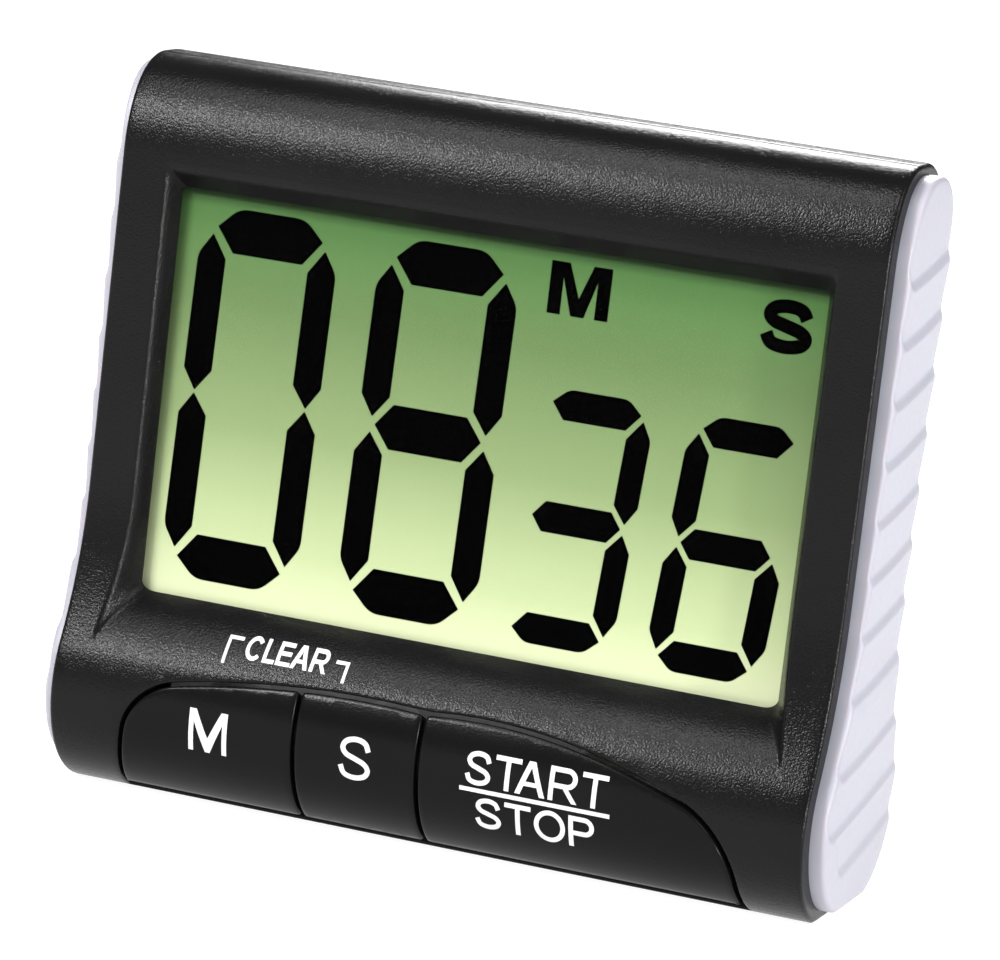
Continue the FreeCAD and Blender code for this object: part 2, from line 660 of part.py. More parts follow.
nodes.append(block("zebra_connector", ("-30.0", "30.0"), (REAR_GLASS, "board_front"),
                   ("window_high - 1.4", "window_high - 0.1")))
nodes.append(circuit_board())
nodes.append(chip_blob())
nodes.append(rod("clock_crystal", "1.0", "8.0", "14.0", y="board_front + board_thickness + 1",
                 z="21", turn=ALONG_X))
nodes.append(small_components())
nodes.append(rod("piezo_disc", "disc_radius", DISC, DISC + " + 0.3", z="buzzer_z"))
nodes.append(rod("piezo_ceramic", "disc_radius - 3", DISC + " - 0.2", DISC, z="buzzer_z"))
nodes.append(cut("buzzer_gasket",
                 rod("gasket_outer", "disc_radius", DISC + " + 0.3",
                     "upper_thickness - case_wall", z="buzzer_z"),
                 rod("gasket_inner", "disc_radius - 1.5", DISC, "upper_thickness",
                     z="buzzer_z")))
nodes += cell()
nodes += contacts()
nodes.append(spring())
nodes.append(battery_door())
nodes.append(group("magnets", [
    rod("magnet_%d" % number, "magnet_radius", "upper_thickness - magnet_thickness",
        "upper_thickness", x=side + "magnet_x", z="magnet_z")
    for number, side in enumerate(("-", ""))]))
nodes.append(group("case_screws", [
    screw("case_screw_%d" % number, x, z, "head_seat", 7.0)
    for number, (x, z) in enumerate(SCREW_SPOTS)]))
nodes.append(group("board_screws", [
    screw("board_screw_%d" % number, x, z, "board_front + board_thickness", 4.0)
    for number, (x, z) in enumerate(BOARD_SPOTS)]))
LEAD = 0.45
nodes.append(wire("buzzer_lead_red", [(-4, BOARD_BACK, 42), (-4, 10.6, 42), (-4, 10.6, 36),
                  (-4, size("upper_thickness") - WALL - 1.6, 36)], 1.0, LEAD))
nodes.append(wire("buzzer_lead_black", [(4, BOARD_BACK, 44), (4, 10.6, 44), (8.5, 10.6, 36),
                  (8.5, size("upper_thickness") - WALL - 1.4, 36)], 1.0, LEAD))
nodes.append(wire("battery_lead_red", [(28.5, BOARD_BACK, 24), (28.5, 11, 24), (28.5, 11, 12),
                  (27.0, 11, 12)], 0.9, LEAD))
nodes.append(wire("battery_lead_black", [(-28.5, BOARD_BACK, 24), (-28.5, 11, 24),
                  (-28.5, 11, 12), (-27.0, 11, 12)], 0.9, LEAD))

for node in nodes:
    node.Label = node.Name
doc.recompute()

problems = []
for thing in doc.Objects:
    if "Invalid" in thing.State or "Error" in thing.State:
        problems.append("%s did not build: %s" % (thing.Name, thing.State))
for node in nodes:
    if node.Shape.isNull() or not node.Shape.isValid():
        problems.append("%s has no valid shape" % node.Label)
if problems:
    raise RuntimeError("; ".join(problems))

os.makedirs("parts", exist_ok=True)
for node in nodes:
    node.Shape.exportStep("parts/%s.step" % node.Label)
print("nodes:", len(nodes))
for node in nodes:
    limits = node.Shape.BoundBox
    print("%-22s solids %2d  volume %9.1f  x %7.2f %7.2f  y %7.2f %7.2f  z %7.2f %7.2f" % (
        node.Label, len(node.Shape.Solids), node.Shape.Volume, limits.XMin, limits.XMax,
        limits.YMin, limits.YMax, limits.ZMin, limits.ZMax))
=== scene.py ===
import json
import math
from collections import namedtuple

import bmesh
import bpy
import numpy as np
from mathutils import Matrix, Vector
from mathutils.geometry import delaunay_2d_cdt


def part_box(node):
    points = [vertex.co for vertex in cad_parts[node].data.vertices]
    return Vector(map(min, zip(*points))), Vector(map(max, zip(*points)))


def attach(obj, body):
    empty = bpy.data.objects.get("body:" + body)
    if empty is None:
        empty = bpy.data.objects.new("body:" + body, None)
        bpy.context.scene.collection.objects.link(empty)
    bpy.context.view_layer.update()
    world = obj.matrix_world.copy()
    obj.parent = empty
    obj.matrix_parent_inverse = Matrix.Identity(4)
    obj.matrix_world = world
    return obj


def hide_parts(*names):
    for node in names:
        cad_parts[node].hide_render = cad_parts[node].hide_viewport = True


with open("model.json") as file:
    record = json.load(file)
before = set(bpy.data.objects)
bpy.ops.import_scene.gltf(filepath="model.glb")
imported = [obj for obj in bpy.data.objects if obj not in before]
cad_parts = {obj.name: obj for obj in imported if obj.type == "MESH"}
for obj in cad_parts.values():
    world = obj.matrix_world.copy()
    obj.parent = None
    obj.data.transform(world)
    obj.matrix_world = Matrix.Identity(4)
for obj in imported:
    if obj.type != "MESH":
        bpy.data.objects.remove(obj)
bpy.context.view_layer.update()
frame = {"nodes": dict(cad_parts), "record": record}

# Looks of a digital kitchen timer.  Sizes below are in millimetres, y is
# counted back from the display plane, and meshes are written in metres.

MM = 0.001
RIGHT_ANGLE = math.pi / 2


def edges_of(node):
    """Lowest and highest corner of a frame node in millimetres."""
    low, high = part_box(node)
    return low / MM, high / MM


# ---- sizes of the case

RECESS = 2.1
FACE_Y = edges_of("display_window")[0].y - RECESS
HALF = edges_of("front_shell")[1].x
TOP = edges_of("front_shell")[1].z
UPPER_BACK = edges_of("magnets")[1].y - FACE_Y
PARTING = edges_of("rear_cover")[0].y - FACE_Y
WINDOW_LOW, WINDOW_HIGH = edges_of("display_window")
GRIP_LOW, GRIP_HIGH = edges_of("right_side_grip")
GRIP_INSET = GRIP_LOW.z

FOOT_RADIUS = 10.4
FOOT_Z = 10.05
FOOT_FRONT = 6.3
FOOT_REAR = edges_of("rear_cover")[1].y - FACE_Y - FOOT_RADIUS
FRONT_SWEEP = 38.0
REAR_SWEEP = 30.0
BROW_RADIUS = 11.6
CREST_RADIUS = 6.3
BROW_TURN = math.radians(30)
BACK_RADIUS = 7.2
GRIP_SET_BACK = GRIP_LOW.y - FACE_Y - GRIP_INSET - FOOT_FRONT + FOOT_RADIUS
SHELL = 1.4

RIM = 0.45
END_DEPTH = 2.6
SQUEEZE_FROM = 34.0

RECESS_HALF = 32.0
RECESS_TOP = 58.5
SIDE_DRAFT = 0.47
TOP_DRAFT = 0.85
CORNER_BLEND = 3.1
TOP_CORNER_BLEND = 0.9
RAIL_BLEND = 0.62

KEY_GAP = 0.4
KEY_PROUD = 0.125
KEY_DEPTH = 1.45
KEY_END = 1.6
APERTURE_END = 3.0
KEY_SPLITS = (-12.5, 0.0)
# Outline of the key panel in x and z: each arc's end, the point it runs through
# (None for a straight line), the next arc's end and so on.
KEY_PANEL = ((-31.8, -2.0), None, (-30.3, 7.4), (-28.9, 10.3), (-25.6, 12.5), (-16.0, 14.0),
             (0.0, 14.35), (14.0, 14.0), (25.0, 11.1), (29.6, 7.9), (31.3, 4.0), None,
             (31.9, -2.0))
KEY_ROUND = 0.24
WALL_EASE = 2.0
BORDER_ROUND = 0.18
WINDOW_ROOM = 0.1
WINDOW_CENTRE = (0.0, 39.0)
WINDOW_PITCH, PANEL_PITCH = 0.28, 0.25
SKIN_PITCH, ACROSS_PITCH = 1.0, 1.2
HALVINGS = 40


# ---- side profile

ARC_STEPS = 200


def travelled(*line):
    """Length run at each point of a line, given as its two lists of coordinates."""
    return np.concatenate([[0], np.cumsum(np.hypot(*map(np.diff, line)))])


class Profile:
    """Side view of the case, moved inward by inset, followed from the sole's
    parting up the front, over the top and down the back.  The front can be set
    back further."""

    def __init__(self, inset=0.0, set_back=0.0):
        foot = FOOT_RADIUS - inset
        sole = math.asin((FOOT_Z - inset) / foot)
        reach = FOOT_RADIUS + FRONT_SWEEP
        front_z = FOOT_Z + math.sqrt(reach ** 2 - (FOOT_FRONT + FRONT_SWEEP) ** 2)
        front_turn = math.atan2(front_z - FOOT_Z, -FRONT_SWEEP - FOOT_FRONT)
        reach = FOOT_RADIUS + REAR_SWEEP
        drop = UPPER_BACK + REAR_SWEEP - FOOT_REAR
        rear_z = FOOT_Z + math.sqrt(reach ** 2 - drop ** 2)
        rear_turn = math.atan2(rear_z - FOOT_Z, drop)
        step = BROW_RADIUS - CREST_RADIUS
        crest_y = BROW_RADIUS - step * math.cos(BROW_TURN)
        crest_z = TOP - CREST_RADIUS
        brow_z = crest_z - step * math.sin(BROW_TURN)
        self.tangent_z = FOOT_Z + FOOT_RADIUS * math.sin(front_turn)
        self.spots = []
        nose_y = FOOT_FRONT + set_back
        self.point(PARTING, inset, 3 * RIGHT_ANGLE)
        self.point(nose_y - foot * math.cos(sole), inset, 3 * RIGHT_ANGLE)
        self.arc(nose_y, FOOT_Z, foot, math.pi + sole, front_turn)
        self.arc(set_back - FRONT_SWEEP, front_z, -FRONT_SWEEP - inset, front_turn, math.pi)
        self.arc(BROW_RADIUS + set_back, brow_z, BROW_RADIUS - inset, math.pi, math.pi - BROW_TURN)
        self.arc(crest_y + set_back, crest_z, CREST_RADIUS - inset, math.pi - BROW_TURN, RIGHT_ANGLE)
        self.crest = len(self.spots)
        self.arc(UPPER_BACK - BACK_RADIUS, TOP - BACK_RADIUS, BACK_RADIUS - inset, RIGHT_ANGLE, 0)
        self.arc(UPPER_BACK + REAR_SWEEP, rear_z, -REAR_SWEEP - inset, 0, rear_turn)
        self.arc(FOOT_REAR, FOOT_Z, foot, rear_turn, -sole)
        self.point(FOOT_REAR + foot * math.cos(sole), inset, -RIGHT_ANGLE)
        self.point(PARTING, inset, -RIGHT_ANGLE)
        self.y, self.z, self.turn = np.array(self.spots).T
        self.length = travelled(self.y, self.z)
        front = slice(self.crest - ARC_STEPS * 3 // 4, self.crest)
        self.front_end = float(np.interp(PARTING, self.y[front], self.length[front]))

    def point(self, y, z, turn):
        """Add a point where the outward normal has this turn."""
        self.spots.append((y, z, turn))

    def arc(self, y, z, radius, start, end):
        """Arc by the turn of its outward normal; a hollow one has a negative radius."""
        for turn in np.linspace(start, end, ARC_STEPS):
            self.point(y + radius * math.cos(turn), z + radius * math.sin(turn), turn)

    def at(self, length):
        """y, z and the outward normal's turn at lengths along the profile."""
        return [np.interp(length, self.length, v) for v in (self.y, self.z, self.turn)]

    def front_at(self, z):
        """Length at which the front passes a height."""
        part = slice(2, self.crest)
        return np.interp(z, self.z[part], self.length[part])

    def rear_at(self, z):
        """Length at which the back passes a height."""
        part = slice(self.crest, -2)
        return np.interp(-np.asarray(z), -self.z[part], self.length[part])

    def ring(self, pitch):
        """The whole outline as evenly spaced points."""
        count = int(self.length[-1] / pitch)
        y, z, _ = self.at(np.linspace(0, self.length[-1], count, endpoint=False))
        return np.column_stack([y, z])


CASE = Profile()


# ---- mesh helpers

def smooth_min(a, b, blend):
    """Lesser of two heights with a rounded change-over."""
    near = np.maximum(blend - np.abs(a - b), 0)
    return np.minimum(a, b) - near ** 2 / (4 * np.maximum(blend, 1e-6))


def smooth_max(a, b, blend):
    """Greater of two heights with a rounded change-over."""
    return -smooth_min(-a, -b, blend)


def smooth_step(t):
    """0 to 1 with flat ends."""
    t = np.clip(t, 0, 1)
    return t * t * (3 - 2 * t)


def graded(low, high, pitch, *bands):
    """Values from low to high, closer together inside bands (low, high, pitch)."""
    values = [low]
    while values[-1] < high:
        here = values[-1]
        step = min([pitch] + [p for a, b, p in bands if a - p <= here <= b])
        values.append(here + step)
    if high - values[-2] < (values[-1] - values[-2]) / 2:
        values.pop()
    values[-1] = high
    return values


def mirrored(values):
    """Values from 0 up, with their negatives."""
    return [-v for v in reversed(values[1:])] + list(values)


def edge_steps(radius, count=4):
    """Distance from a rounded edge and how far the surface has sunk there."""
    turns = np.linspace(RIGHT_ANGLE, 0, count)
    return [(radius * (1 - math.sin(t)), radius * (1 - math.cos(t))) for t in turns]


def resample(ring, pitch):
    """A closed ring with evenly spaced points."""
    closed = np.vstack([ring, ring[:1]])
    length = travelled(*closed.T)
    count = max(8, int(length[-1] / pitch))
    at = np.linspace(0, length[-1], count, endpoint=False)
    return np.column_stack([np.interp(at, length, closed[:, i]) for i in (0, 1)])


def grown(ring, distance):
    """A ring moved outward by a distance."""
    after = np.roll(ring, -1, axis=0)
    side = after - np.roll(ring, 1, axis=0)
    normal = np.column_stack([side[:, 1], -side[:, 0]])
    normal /= np.linalg.norm(normal, axis=1)[:, None]
    clockwise = np.sum(ring[:, 0] * after[:, 1] - ring[:, 1] * after[:, 0]) < 0
    return ring + normal * (-distance if clockwise else distance)


def rounded(corners, radii, steps=6):
    """A polygon whose corners are arcs of the given radii."""
    points = []
    count = len(corners)
    for i in range(count):
        corner = np.array(corners[i], float)
        before = np.array(corners[i - 1], float) - corner
        after = np.array(corners[(i + 1) % count], float) - corner
        before_length, after_length = np.linalg.norm(before), np.linalg.norm(after)
        before, after = before / before_length, after / after_length
        radius = radii if np.isscalar(radii) else radii[i]
        half = math.acos(np.clip(before @ after, -1, 1)) / 2
        trim = min(radius / math.tan(half), 0.48 * before_length, 0.48 * after_length)
        if radius <= 0 or half > RIGHT_ANGLE - 0.02:
            points.append(corner)
            continue
        radius = trim * math.tan(half)
        middle = before + after
        centre = corner + middle / np.linalg.norm(middle) * radius / math.sin(half)
        start, end = corner + before * trim - centre, corner + after * trim - centre
        start_turn = math.atan2(start[1], start[0])
        turn = math.atan2(start[0] * end[1] - start[1] * end[0], start @ end)
        for t in np.linspace(start_turn, start_turn + turn, steps):
            points.append(centre + radius * np.array([math.cos(t), math.sin(t)]))
    return np.array(points)


def circle(x, z, radius, count=36):
    """A ring of points on a circle."""
    turn = np.linspace(0, 2 * math.pi, count, endpoint=False)
    return np.column_stack([x + radius * np.cos(turn), z + radius * np.sin(turn)])


def inside(points, ring):
    """Which points lie in a ring."""
    x, y = points[:, :1], points[:, 1:]
    after = np.roll(ring, -1, axis=0)
    crossed = (ring[:, 1] > y) != (after[:, 1] > y)
    rise = after[:, 1] - ring[:, 1]
    rise[rise == 0] = 1e-12
    at = ring[:, 0] + (y - ring[:, 1]) * (after[:, 0] - ring[:, 0]) / rise
    return np.sum(crossed & (x < at), axis=1) % 2 == 1


def distance_to(ring, points, most):
    """Distance from each point to a ring's nearest point, at most the given one."""
    apart = np.full(len(points), most)
    for across, along in ring:
        apart = np.minimum(apart, np.hypot(points[:, 0] - across, points[:, 1] - along))
    return apart


class Sheet:
    """Flat triangles over a grid, with rings kept as edges, that a surface is bent from."""

    def __init__(self):
        self.points, self.sunk, self.edges = [], [], []
        self.count = 0

    def add(self, points, sunk):
        """Loose points, each sunk below the surface by an amount."""
        points = np.asarray(points, float)
        self.points.append(points)
        self.sunk.append(np.broadcast_to(sunk, len(points)).astype(float))
        self.count += len(points)

    def add_ring(self, ring, sunk):
        """A closed ring of points joined by edges."""
        first = self.count
        self.add(ring, sunk)
        self.edges += [(first + i, first + (i + 1) % len(ring)) for i in range(len(ring))]

    def lip(self, ring, radius, outward=True):
        """Rounded edge that leaves a ring outward, or inward into what it encloses."""
        if radius == 0:
            self.add_ring(ring, 0)
            return ring
        for distance, sunk in edge_steps(radius):
            last = grown(ring, distance if outward else -distance)
            self.add_ring(last, sunk)
        return last

    def fill(self, points, ring, margin, sunk):
        """Those of the points that lie in a ring, clear of it by a margin."""
        self.add(points[inside(points, ring) & (distance_to(ring, points, margin) >= margin)], sunk)

    def weave(self, keep):
        """Points, sunk amounts and triangles whose centres pass the keep test."""
        points, sunk = np.vstack(self.points), np.concatenate(self.sunk)
        made = delaunay_2d_cdt([Vector(p) for p in points], self.edges, [], 0, 1e-6)
        woven = np.array([tuple(v) for v in made[0]])
        amounts = np.array([sunk[ids[0]] if ids else 0 for ids in made[3]])
        faces = np.array([f for f in made[2] if len(f) == 3])
        faces = faces[keep(woven[faces].mean(axis=1))]
        used, faces = np.unique(faces, return_inverse=True)
        return woven[used], amounts[used], faces.reshape(-1, 3)


def grid(us, vs):
    """All pairs of two lists of values."""
    u, v = np.meshgrid(us, vs)
    return np.column_stack([u.ravel(), v.ravel()])


def solid_mesh(name, verts, faces, sharp=32):
    """Object in metres from corners in millimetres with y counted from the display."""
    placed = (np.asarray(verts, float) + (0, FACE_Y, 0)) * MM
    mesh = bpy.data.meshes.new(name)
    mesh.from_pydata(placed.tolist(), [], [list(map(int, f)) for f in faces])
    work = bmesh.new()
    work.from_mesh(mesh)
    bmesh.ops.recalc_face_normals(work, faces=work.faces)
    work.to_mesh(mesh)
    work.free()
    mesh.shade_smooth()
    mesh.set_sharp_from_angle(angle=math.radians(sharp))
    piece = bpy.data.objects.new(name, mesh)
    bpy.context.scene.collection.objects.link(piece)
    return piece


def shell_mesh(name, outer, inner, triangles, sharp=40):
    """Closed wall between two sheets of points that share their triangles."""
    count = len(outer)
    ends = np.vstack([triangles[:, [0, 1]], triangles[:, [1, 2]], triangles[:, [2, 0]]])
    known = set(map(tuple, ends.tolist()))
    faces = triangles.tolist() + (triangles[:, ::-1] + count).tolist()
    for a, b in known:
        if (b, a) not in known:
            faces.append([b, a, a + count, b + count])
    return solid_mesh(name, np.vstack([outer, inner]), faces, sharp)


def lathe_mesh(spots, section, count=48):
    """Rings turned about lines along y through the spots, from one closed section."""
    verts, faces = [], []
    for x, z in spots:
        first = len(verts)
        for i in range(count):
            turn = 2 * math.pi * i / count
            verts += [(x + r * math.cos(turn), y, z + r * math.sin(turn)) for r, y in section]
        many = len(section)
        for i in range(count):
            a, b = first + i * many, first + (i + 1) % count * many
            for j in range(many):
                k = (j + 1) % many
                faces.append([a + j, a + k, b + k, b + j])
    return verts, faces


# ---- materials

class Tree:
    """Node tree of a new material."""

    def __init__(self, name):
        self.material = bpy.data.materials.new(name)
        self.material.use_nodes = True
        self.nodes = self.material.node_tree.nodes
        self.link = self.material.node_tree.links.new
        self.nodes.clear()

    def node(self, kind, **sockets):
        """Node whose inputs are set to values or follow the outputs of other nodes."""
        made = self.nodes.new("ShaderNode" + kind)
        for socket, value in sockets.items():
            entry = made.inputs[socket.replace("_", " ")]
            if isinstance(value, bpy.types.NodeSocket):
                self.link(value, entry)
            else:
                entry.default_value = value
        return made

    def place(self):
        """Position in the piece's own space."""
        return self.node("TexCoord").outputs["Object"]

    def noise(self, scale, detail=3.0):
        """Noise with so many grains along a metre."""
        made = self.node("TexNoise", Vector=self.place(), Scale=scale, Detail=detail)
        return made.outputs["Fac"]

    def spread(self, value, low, high):
        """Noise mapped to a range of values."""
        made = self.node("MapRange", Value=value, From_Min=NOISE_LOW, From_Max=NOISE_HIGH,
                         To_Min=low, To_Max=high)
        return made.outputs["Result"]

    def ramp(self, value, stops):
        """Colour by a value, between stops of position and colour."""
        made = self.node("ValToRGB", Fac=value)
        elements = made.color_ramp.elements
        while len(elements) < len(stops):
            elements.new(0.5)
        for element, (position, colour) in zip(elements, stops):
            element.position = position
            element.color = (*colour, 1)
        return made.outputs["Color"]

    def finish(self, shader):
        """The material, with this node's first output as its surface."""
        self.node("OutputMaterial", Surface=shader.outputs[0])
        return self.material


NOISE_LOW, NOISE_HIGH = 0.3, 0.7


def surface(name, colour, rough, metal=0.0, grain=900.0, depth=0.01, vary=0.08,
            patch=90.0, specular=0.5, **sockets):
    """Moulded, plated or painted surface: mottled colour, uneven gloss, fine grain.

    grain is the number of grains along a metre, depth their height in mm.
    """
    tree = Tree(name)
    mottle = ((NOISE_LOW, [c * (1 - vary) for c in colour]),
              (NOISE_HIGH, [min(1.0, c * (1 + vary)) for c in colour]))
    fine = tree.noise(grain, 2.0)
    bump = tree.node("Bump", Distance=depth * MM, Height=fine)
    return tree.finish(tree.node(
        "BsdfPrincipled", Base_Color=tree.ramp(tree.noise(patch), mottle), Metallic=metal,
        Specular_IOR_Level=specular, Normal=bump.outputs["Normal"],
        Roughness=tree.spread(fine, rough * 0.9, min(1.0, rough * 1.1)), **sockets))


def display_panel(name):
    """Reflective display: deep green at the top that pales towards the bottom, with a painted shadow
    of the recess's top wall darkening its top edge to near black.
    """
    tree = Tree(name)
    split = tree.node("SeparateXYZ", Vector=tree.place())
    height = tree.node("MapRange", Value=split.outputs["Z"], From_Min=WINDOW_LOW.z * MM,
                       From_Max=RECESS_TOP * MM)
    return tree.finish(tree.node(
        "BsdfPrincipled", Base_Color=tree.ramp(height.outputs["Result"], DISPLAY_TONE_AND_PAINTED_SHADOW),
        Specular_IOR_Level=0.1, Roughness=tree.spread(tree.noise(6000.0), 0.55, 0.7)))


def clear_window(name, tone, gloss, ior):
    """Thin clear sheet: light passes straight through, and the surface shines."""
    tree = Tree(name)
    clear = tree.node("BsdfTransparent", Color=(*tone, 1))
    shine = tree.node("BsdfGlossy", Roughness=tree.spread(tree.noise(1500.0), gloss, gloss * 1.5))
    blend = tree.node("MixShader", Fac=tree.node("Fresnel", IOR=ior).outputs["Fac"])
    tree.link(clear.outputs["BSDF"], blend.inputs[1])
    tree.link(shine.outputs["BSDF"], blend.inputs[2])
    return tree.finish(blend)


# Colour stops of the display by height: its own green that pales downwards, then from 0.962 to the top
# a painted shadow of the recess's top wall that darkens it to near black.
DISPLAY_TONE_AND_PAINTED_SHADOW = ((0.02, (0.66, 0.70, 0.45)), (0.16, (0.46, 0.53, 0.295)),
                 (0.45, (0.23, 0.305, 0.14)), (0.75, (0.119, 0.19, 0.073)),
                 (0.962, (0.073, 0.163, 0.048)), (0.985, (0.03, 0.066, 0.021)),
                 (1.0, (0.007, 0.013, 0.005)))

# Finishes by the record's slot name, and two inks: colour, roughness and the rest.
FINISHES = {
    "case_black": ((0.006, 0.0056, 0.006), 0.22,
                   dict(grain=5200, depth=0.048, specular=0.13, vary=0.12)),
    "key_black": ((0.005, 0.0047, 0.005), 0.22,
                  dict(grain=5200, depth=0.015, specular=0.09, vary=0.1)),
    "grip_pale": ((0.385, 0.383, 0.438), 0.42,
                  dict(grain=1600, depth=0.004, vary=0.015, specular=0.4,
                       Subsurface_Weight=0.25, Subsurface_Scale=0.002)),
    "carbon_rubber": ((0.01, 0.01, 0.01), 0.7, {}),
    "mat_rubber": ((0.5, 0.5, 0.5), 0.6, dict(Subsurface_Weight=0.1, Subsurface_Scale=0.001)),
    "reflector_green": ((0.4, 0.55, 0.3), 0.5, dict(grain=3000)),
    "bezel_white": ((0.78, 0.78, 0.76), 0.45, dict(grain=2500)),
    "zebra_rubber": ((0.6, 0.3, 0.34), 0.6, {}),
    "board_green": ((0.02, 0.12, 0.045), 0.35, dict(grain=700, depth=0.02, vary=0.25, patch=260)),
    "resin_black": ((0.012, 0.012, 0.012), 0.22, dict(grain=400, depth=0.03)),
    "plated_steel": ((0.66, 0.65, 0.62), 0.24, dict(metal=1.0, grain=2400, depth=0.002)),
    "component_tan": ((0.34, 0.25, 0.16), 0.45, {}),
    "disc_brass": ((0.72, 0.52, 0.22), 0.26, dict(metal=1.0, grain=3000, depth=0.002)),
    "ceramic_white": ((0.72, 0.72, 0.7), 0.3, {}),
    "gasket_foam": ((0.03, 0.03, 0.032), 0.9, dict(grain=1500, depth=0.08)),
    "cell_wrap": ((0.03, 0.16, 0.07), 0.28, dict(grain=500, depth=0.006, vary=0.06)),
    "magnet_nickel": ((0.42, 0.42, 0.42), 0.25,
                      dict(metal=1.0, grain=1800, depth=0.003, vary=0.12, patch=300)),
    "screw_steel": ((0.42, 0.42, 0.43), 0.3,
                    dict(metal=1.0, grain=2400, depth=0.004, vary=0.15, patch=700)),
    "lead_red": ((0.5, 0.02, 0.02), 0.4, {}),
    "lead_black": ((0.012, 0.012, 0.012), 0.4, {}),
    "segment_ink": ((0.0004, 0.0004, 0.0004), 0.6, dict(grain=3000, depth=0.001, specular=0.0)),
    "legend_ink": ((0.66, 0.65, 0.67), 0.5, dict(grain=3800, depth=0.004, vary=0.02)),
}
MATERIALS = {name: surface(name, colour, rough, **rest)
             for name, (colour, rough, rest) in FINISHES.items()}
MATERIALS["window_clear"] = clear_window("window_clear", (0.985, 0.99, 0.985), 0.04, 1.05)
MATERIALS["lcd_glass"] = clear_window("lcd_glass", (0.93, 0.97, 0.94), 0.02, 1.2)
MATERIALS["polarizer_film"] = display_panel("display_green")


def dress(piece, body, slot, *nodes, material=None):
    """Give a piece its body and the finish of its slot, or the given material instead, and hide the
    frame nodes it stands for.
    """
    piece.data.materials.clear()
    piece.data.materials.append(MATERIALS[material or slot])
    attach(piece, body)
    if nodes:
        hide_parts(*nodes)
    return piece


# ---- front shell

def recess_cut(x, z):
    """Depth of the display recess's walls, and of the foot that runs into it."""
    side = RECESS + (RECESS_HALF - np.abs(x)) / SIDE_DRAFT
    top = RECESS + (RECESS_TOP - z) / TOP_DRAFT
    rise = np.clip(z - FOOT_Z, 0, FOOT_RADIUS)
    foot = FOOT_FRONT - np.sqrt(FOOT_RADIUS ** 2 - rise ** 2)
    rail = CASE.at(CASE.front_at(z))[0]
    blend = np.clip(1.1 * (foot - rail), 0.05, CORNER_BLEND)
    return smooth_min(smooth_min(side, foot, blend), top, TOP_CORNER_BLEND)


def recess_push(x, y, z):
    """How far the front is pushed back from the outline by the recess."""
    above = z - CASE.tangent_z
    floor = smooth_min(recess_cut(x, z), np.full_like(x, RECESS), 0.04)
    blend = RAIL_BLEND * np.clip(above / 2.5, 0.05, 1)
    push = smooth_max(floor - y, np.zeros_like(y), blend)
    return np.where((above > 0) & (z < TOP - CREST_RADIUS) & (y < RECESS), push, 0)


def window_ring():
    """Where the recess's walls meet the window, as x and length along the front."""
    level = RECESS - 0.05
    middle = np.array(WINDOW_CENTRE)
    corners = [(-RECESS_HALF, WINDOW_LOW.z), (RECESS_HALF, WINDOW_LOW.z),
               (RECESS_HALF, RECESS_TOP), (-RECESS_HALF, RECESS_TOP)]
    frame_points = resample(np.array(corners, float), 0.3)
    near_end, far_end = np.full(len(frame_points), 0.7), np.full(len(frame_points), 1.1)
    for _ in range(HALVINGS):
        share = (near_end + far_end) / 2
        at = middle + (frame_points - middle) * share[:, None]
        deep = recess_cut(at[:, 0], at[:, 1]) > level
        near_end, far_end = np.where(deep, share, near_end), np.where(deep, far_end, share)
    return resample(np.column_stack([at[:, 0], CASE.front_at(at[:, 1])]), WINDOW_PITCH)


def key_panel(end_y):
    """Outline of the key panel as x and length, down to where the foot reaches end_y."""
    spans = zip(KEY_PANEL[::2], KEY_PANEL[1::2], KEY_PANEL[2::2])
    points = [point for span in spans for point in three_point_arc(*span)]
    low = FOOT_Z - math.sqrt(FOOT_RADIUS ** 2 - (FOOT_FRONT - end_y) ** 2)
    kept = [p for p in points if p[1] > low]
    ends = [(float(np.interp(low, (foot[1], knee[1]), (foot[0], knee[0]))), low)
            for foot, knee in ((KEY_PANEL[0], KEY_PANEL[2]), (KEY_PANEL[-1], KEY_PANEL[-3]))]
    ring = np.array([ends[0]] + kept + [ends[1]])
    return np.column_stack([ring[:, 0], CASE.front_at(ring[:, 1])])


def three_point_arc(start, through, end, count=40):
    """Points from start towards end on the circle through three points, or a line."""
    if through is None:
        return [tuple(p) for p in np.linspace(start, end, count, endpoint=False)]
    a, b, c = (complex(*p) for p in (start, through, end))
    w = (c - a) / (b - a)
    centre = (b - a) * (w - abs(w) ** 2) / (2j * w.imag) + a
    first, last = a - centre, c - centre
    turns = np.linspace(0, np.angle(last / first), count, endpoint=False)
    return [(spot.real, spot.imag) for spot in (centre + first * np.exp(1j * t) for t in turns)]


def lateral(u):
    """Across the case: x, and how far below the outline, over the rim and down the end."""
    flat = HALF - RIM
    over = np.maximum(np.abs(u) - flat, 0)
    turn = np.minimum(over / RIM, RIGHT_ANGLE)
    x = np.sign(u) * (np.minimum(np.abs(u), flat) + RIM * np.sin(turn))
    return x, RIM * (1 - np.cos(turn)) + np.maximum(over - RIM * RIGHT_ANGLE, 0)


def lateral_lines(*bands):
    """Grid lines across the case, close together over the rim."""
    flat = HALF - RIM
    wall = flat + RIM * RIGHT_ANGLE
    lines = graded(0, flat, ACROSS_PITCH, *bands)
    lines += [flat + RIM * RIGHT_ANGLE * i / 6 for i in range(1, 7)]
    lines += [wall + (END_DEPTH - RIM) * i / 3 for i in range(1, 4)]
    return mirrored(lines)


def laid(x, length, level, back=0.0):
    """Points a level below the case's outline, pushed back from it."""
    y, z, turn = CASE.at(length)
    return np.column_stack([x, y + back - np.cos(turn) * level, z - np.sin(turn) * level])


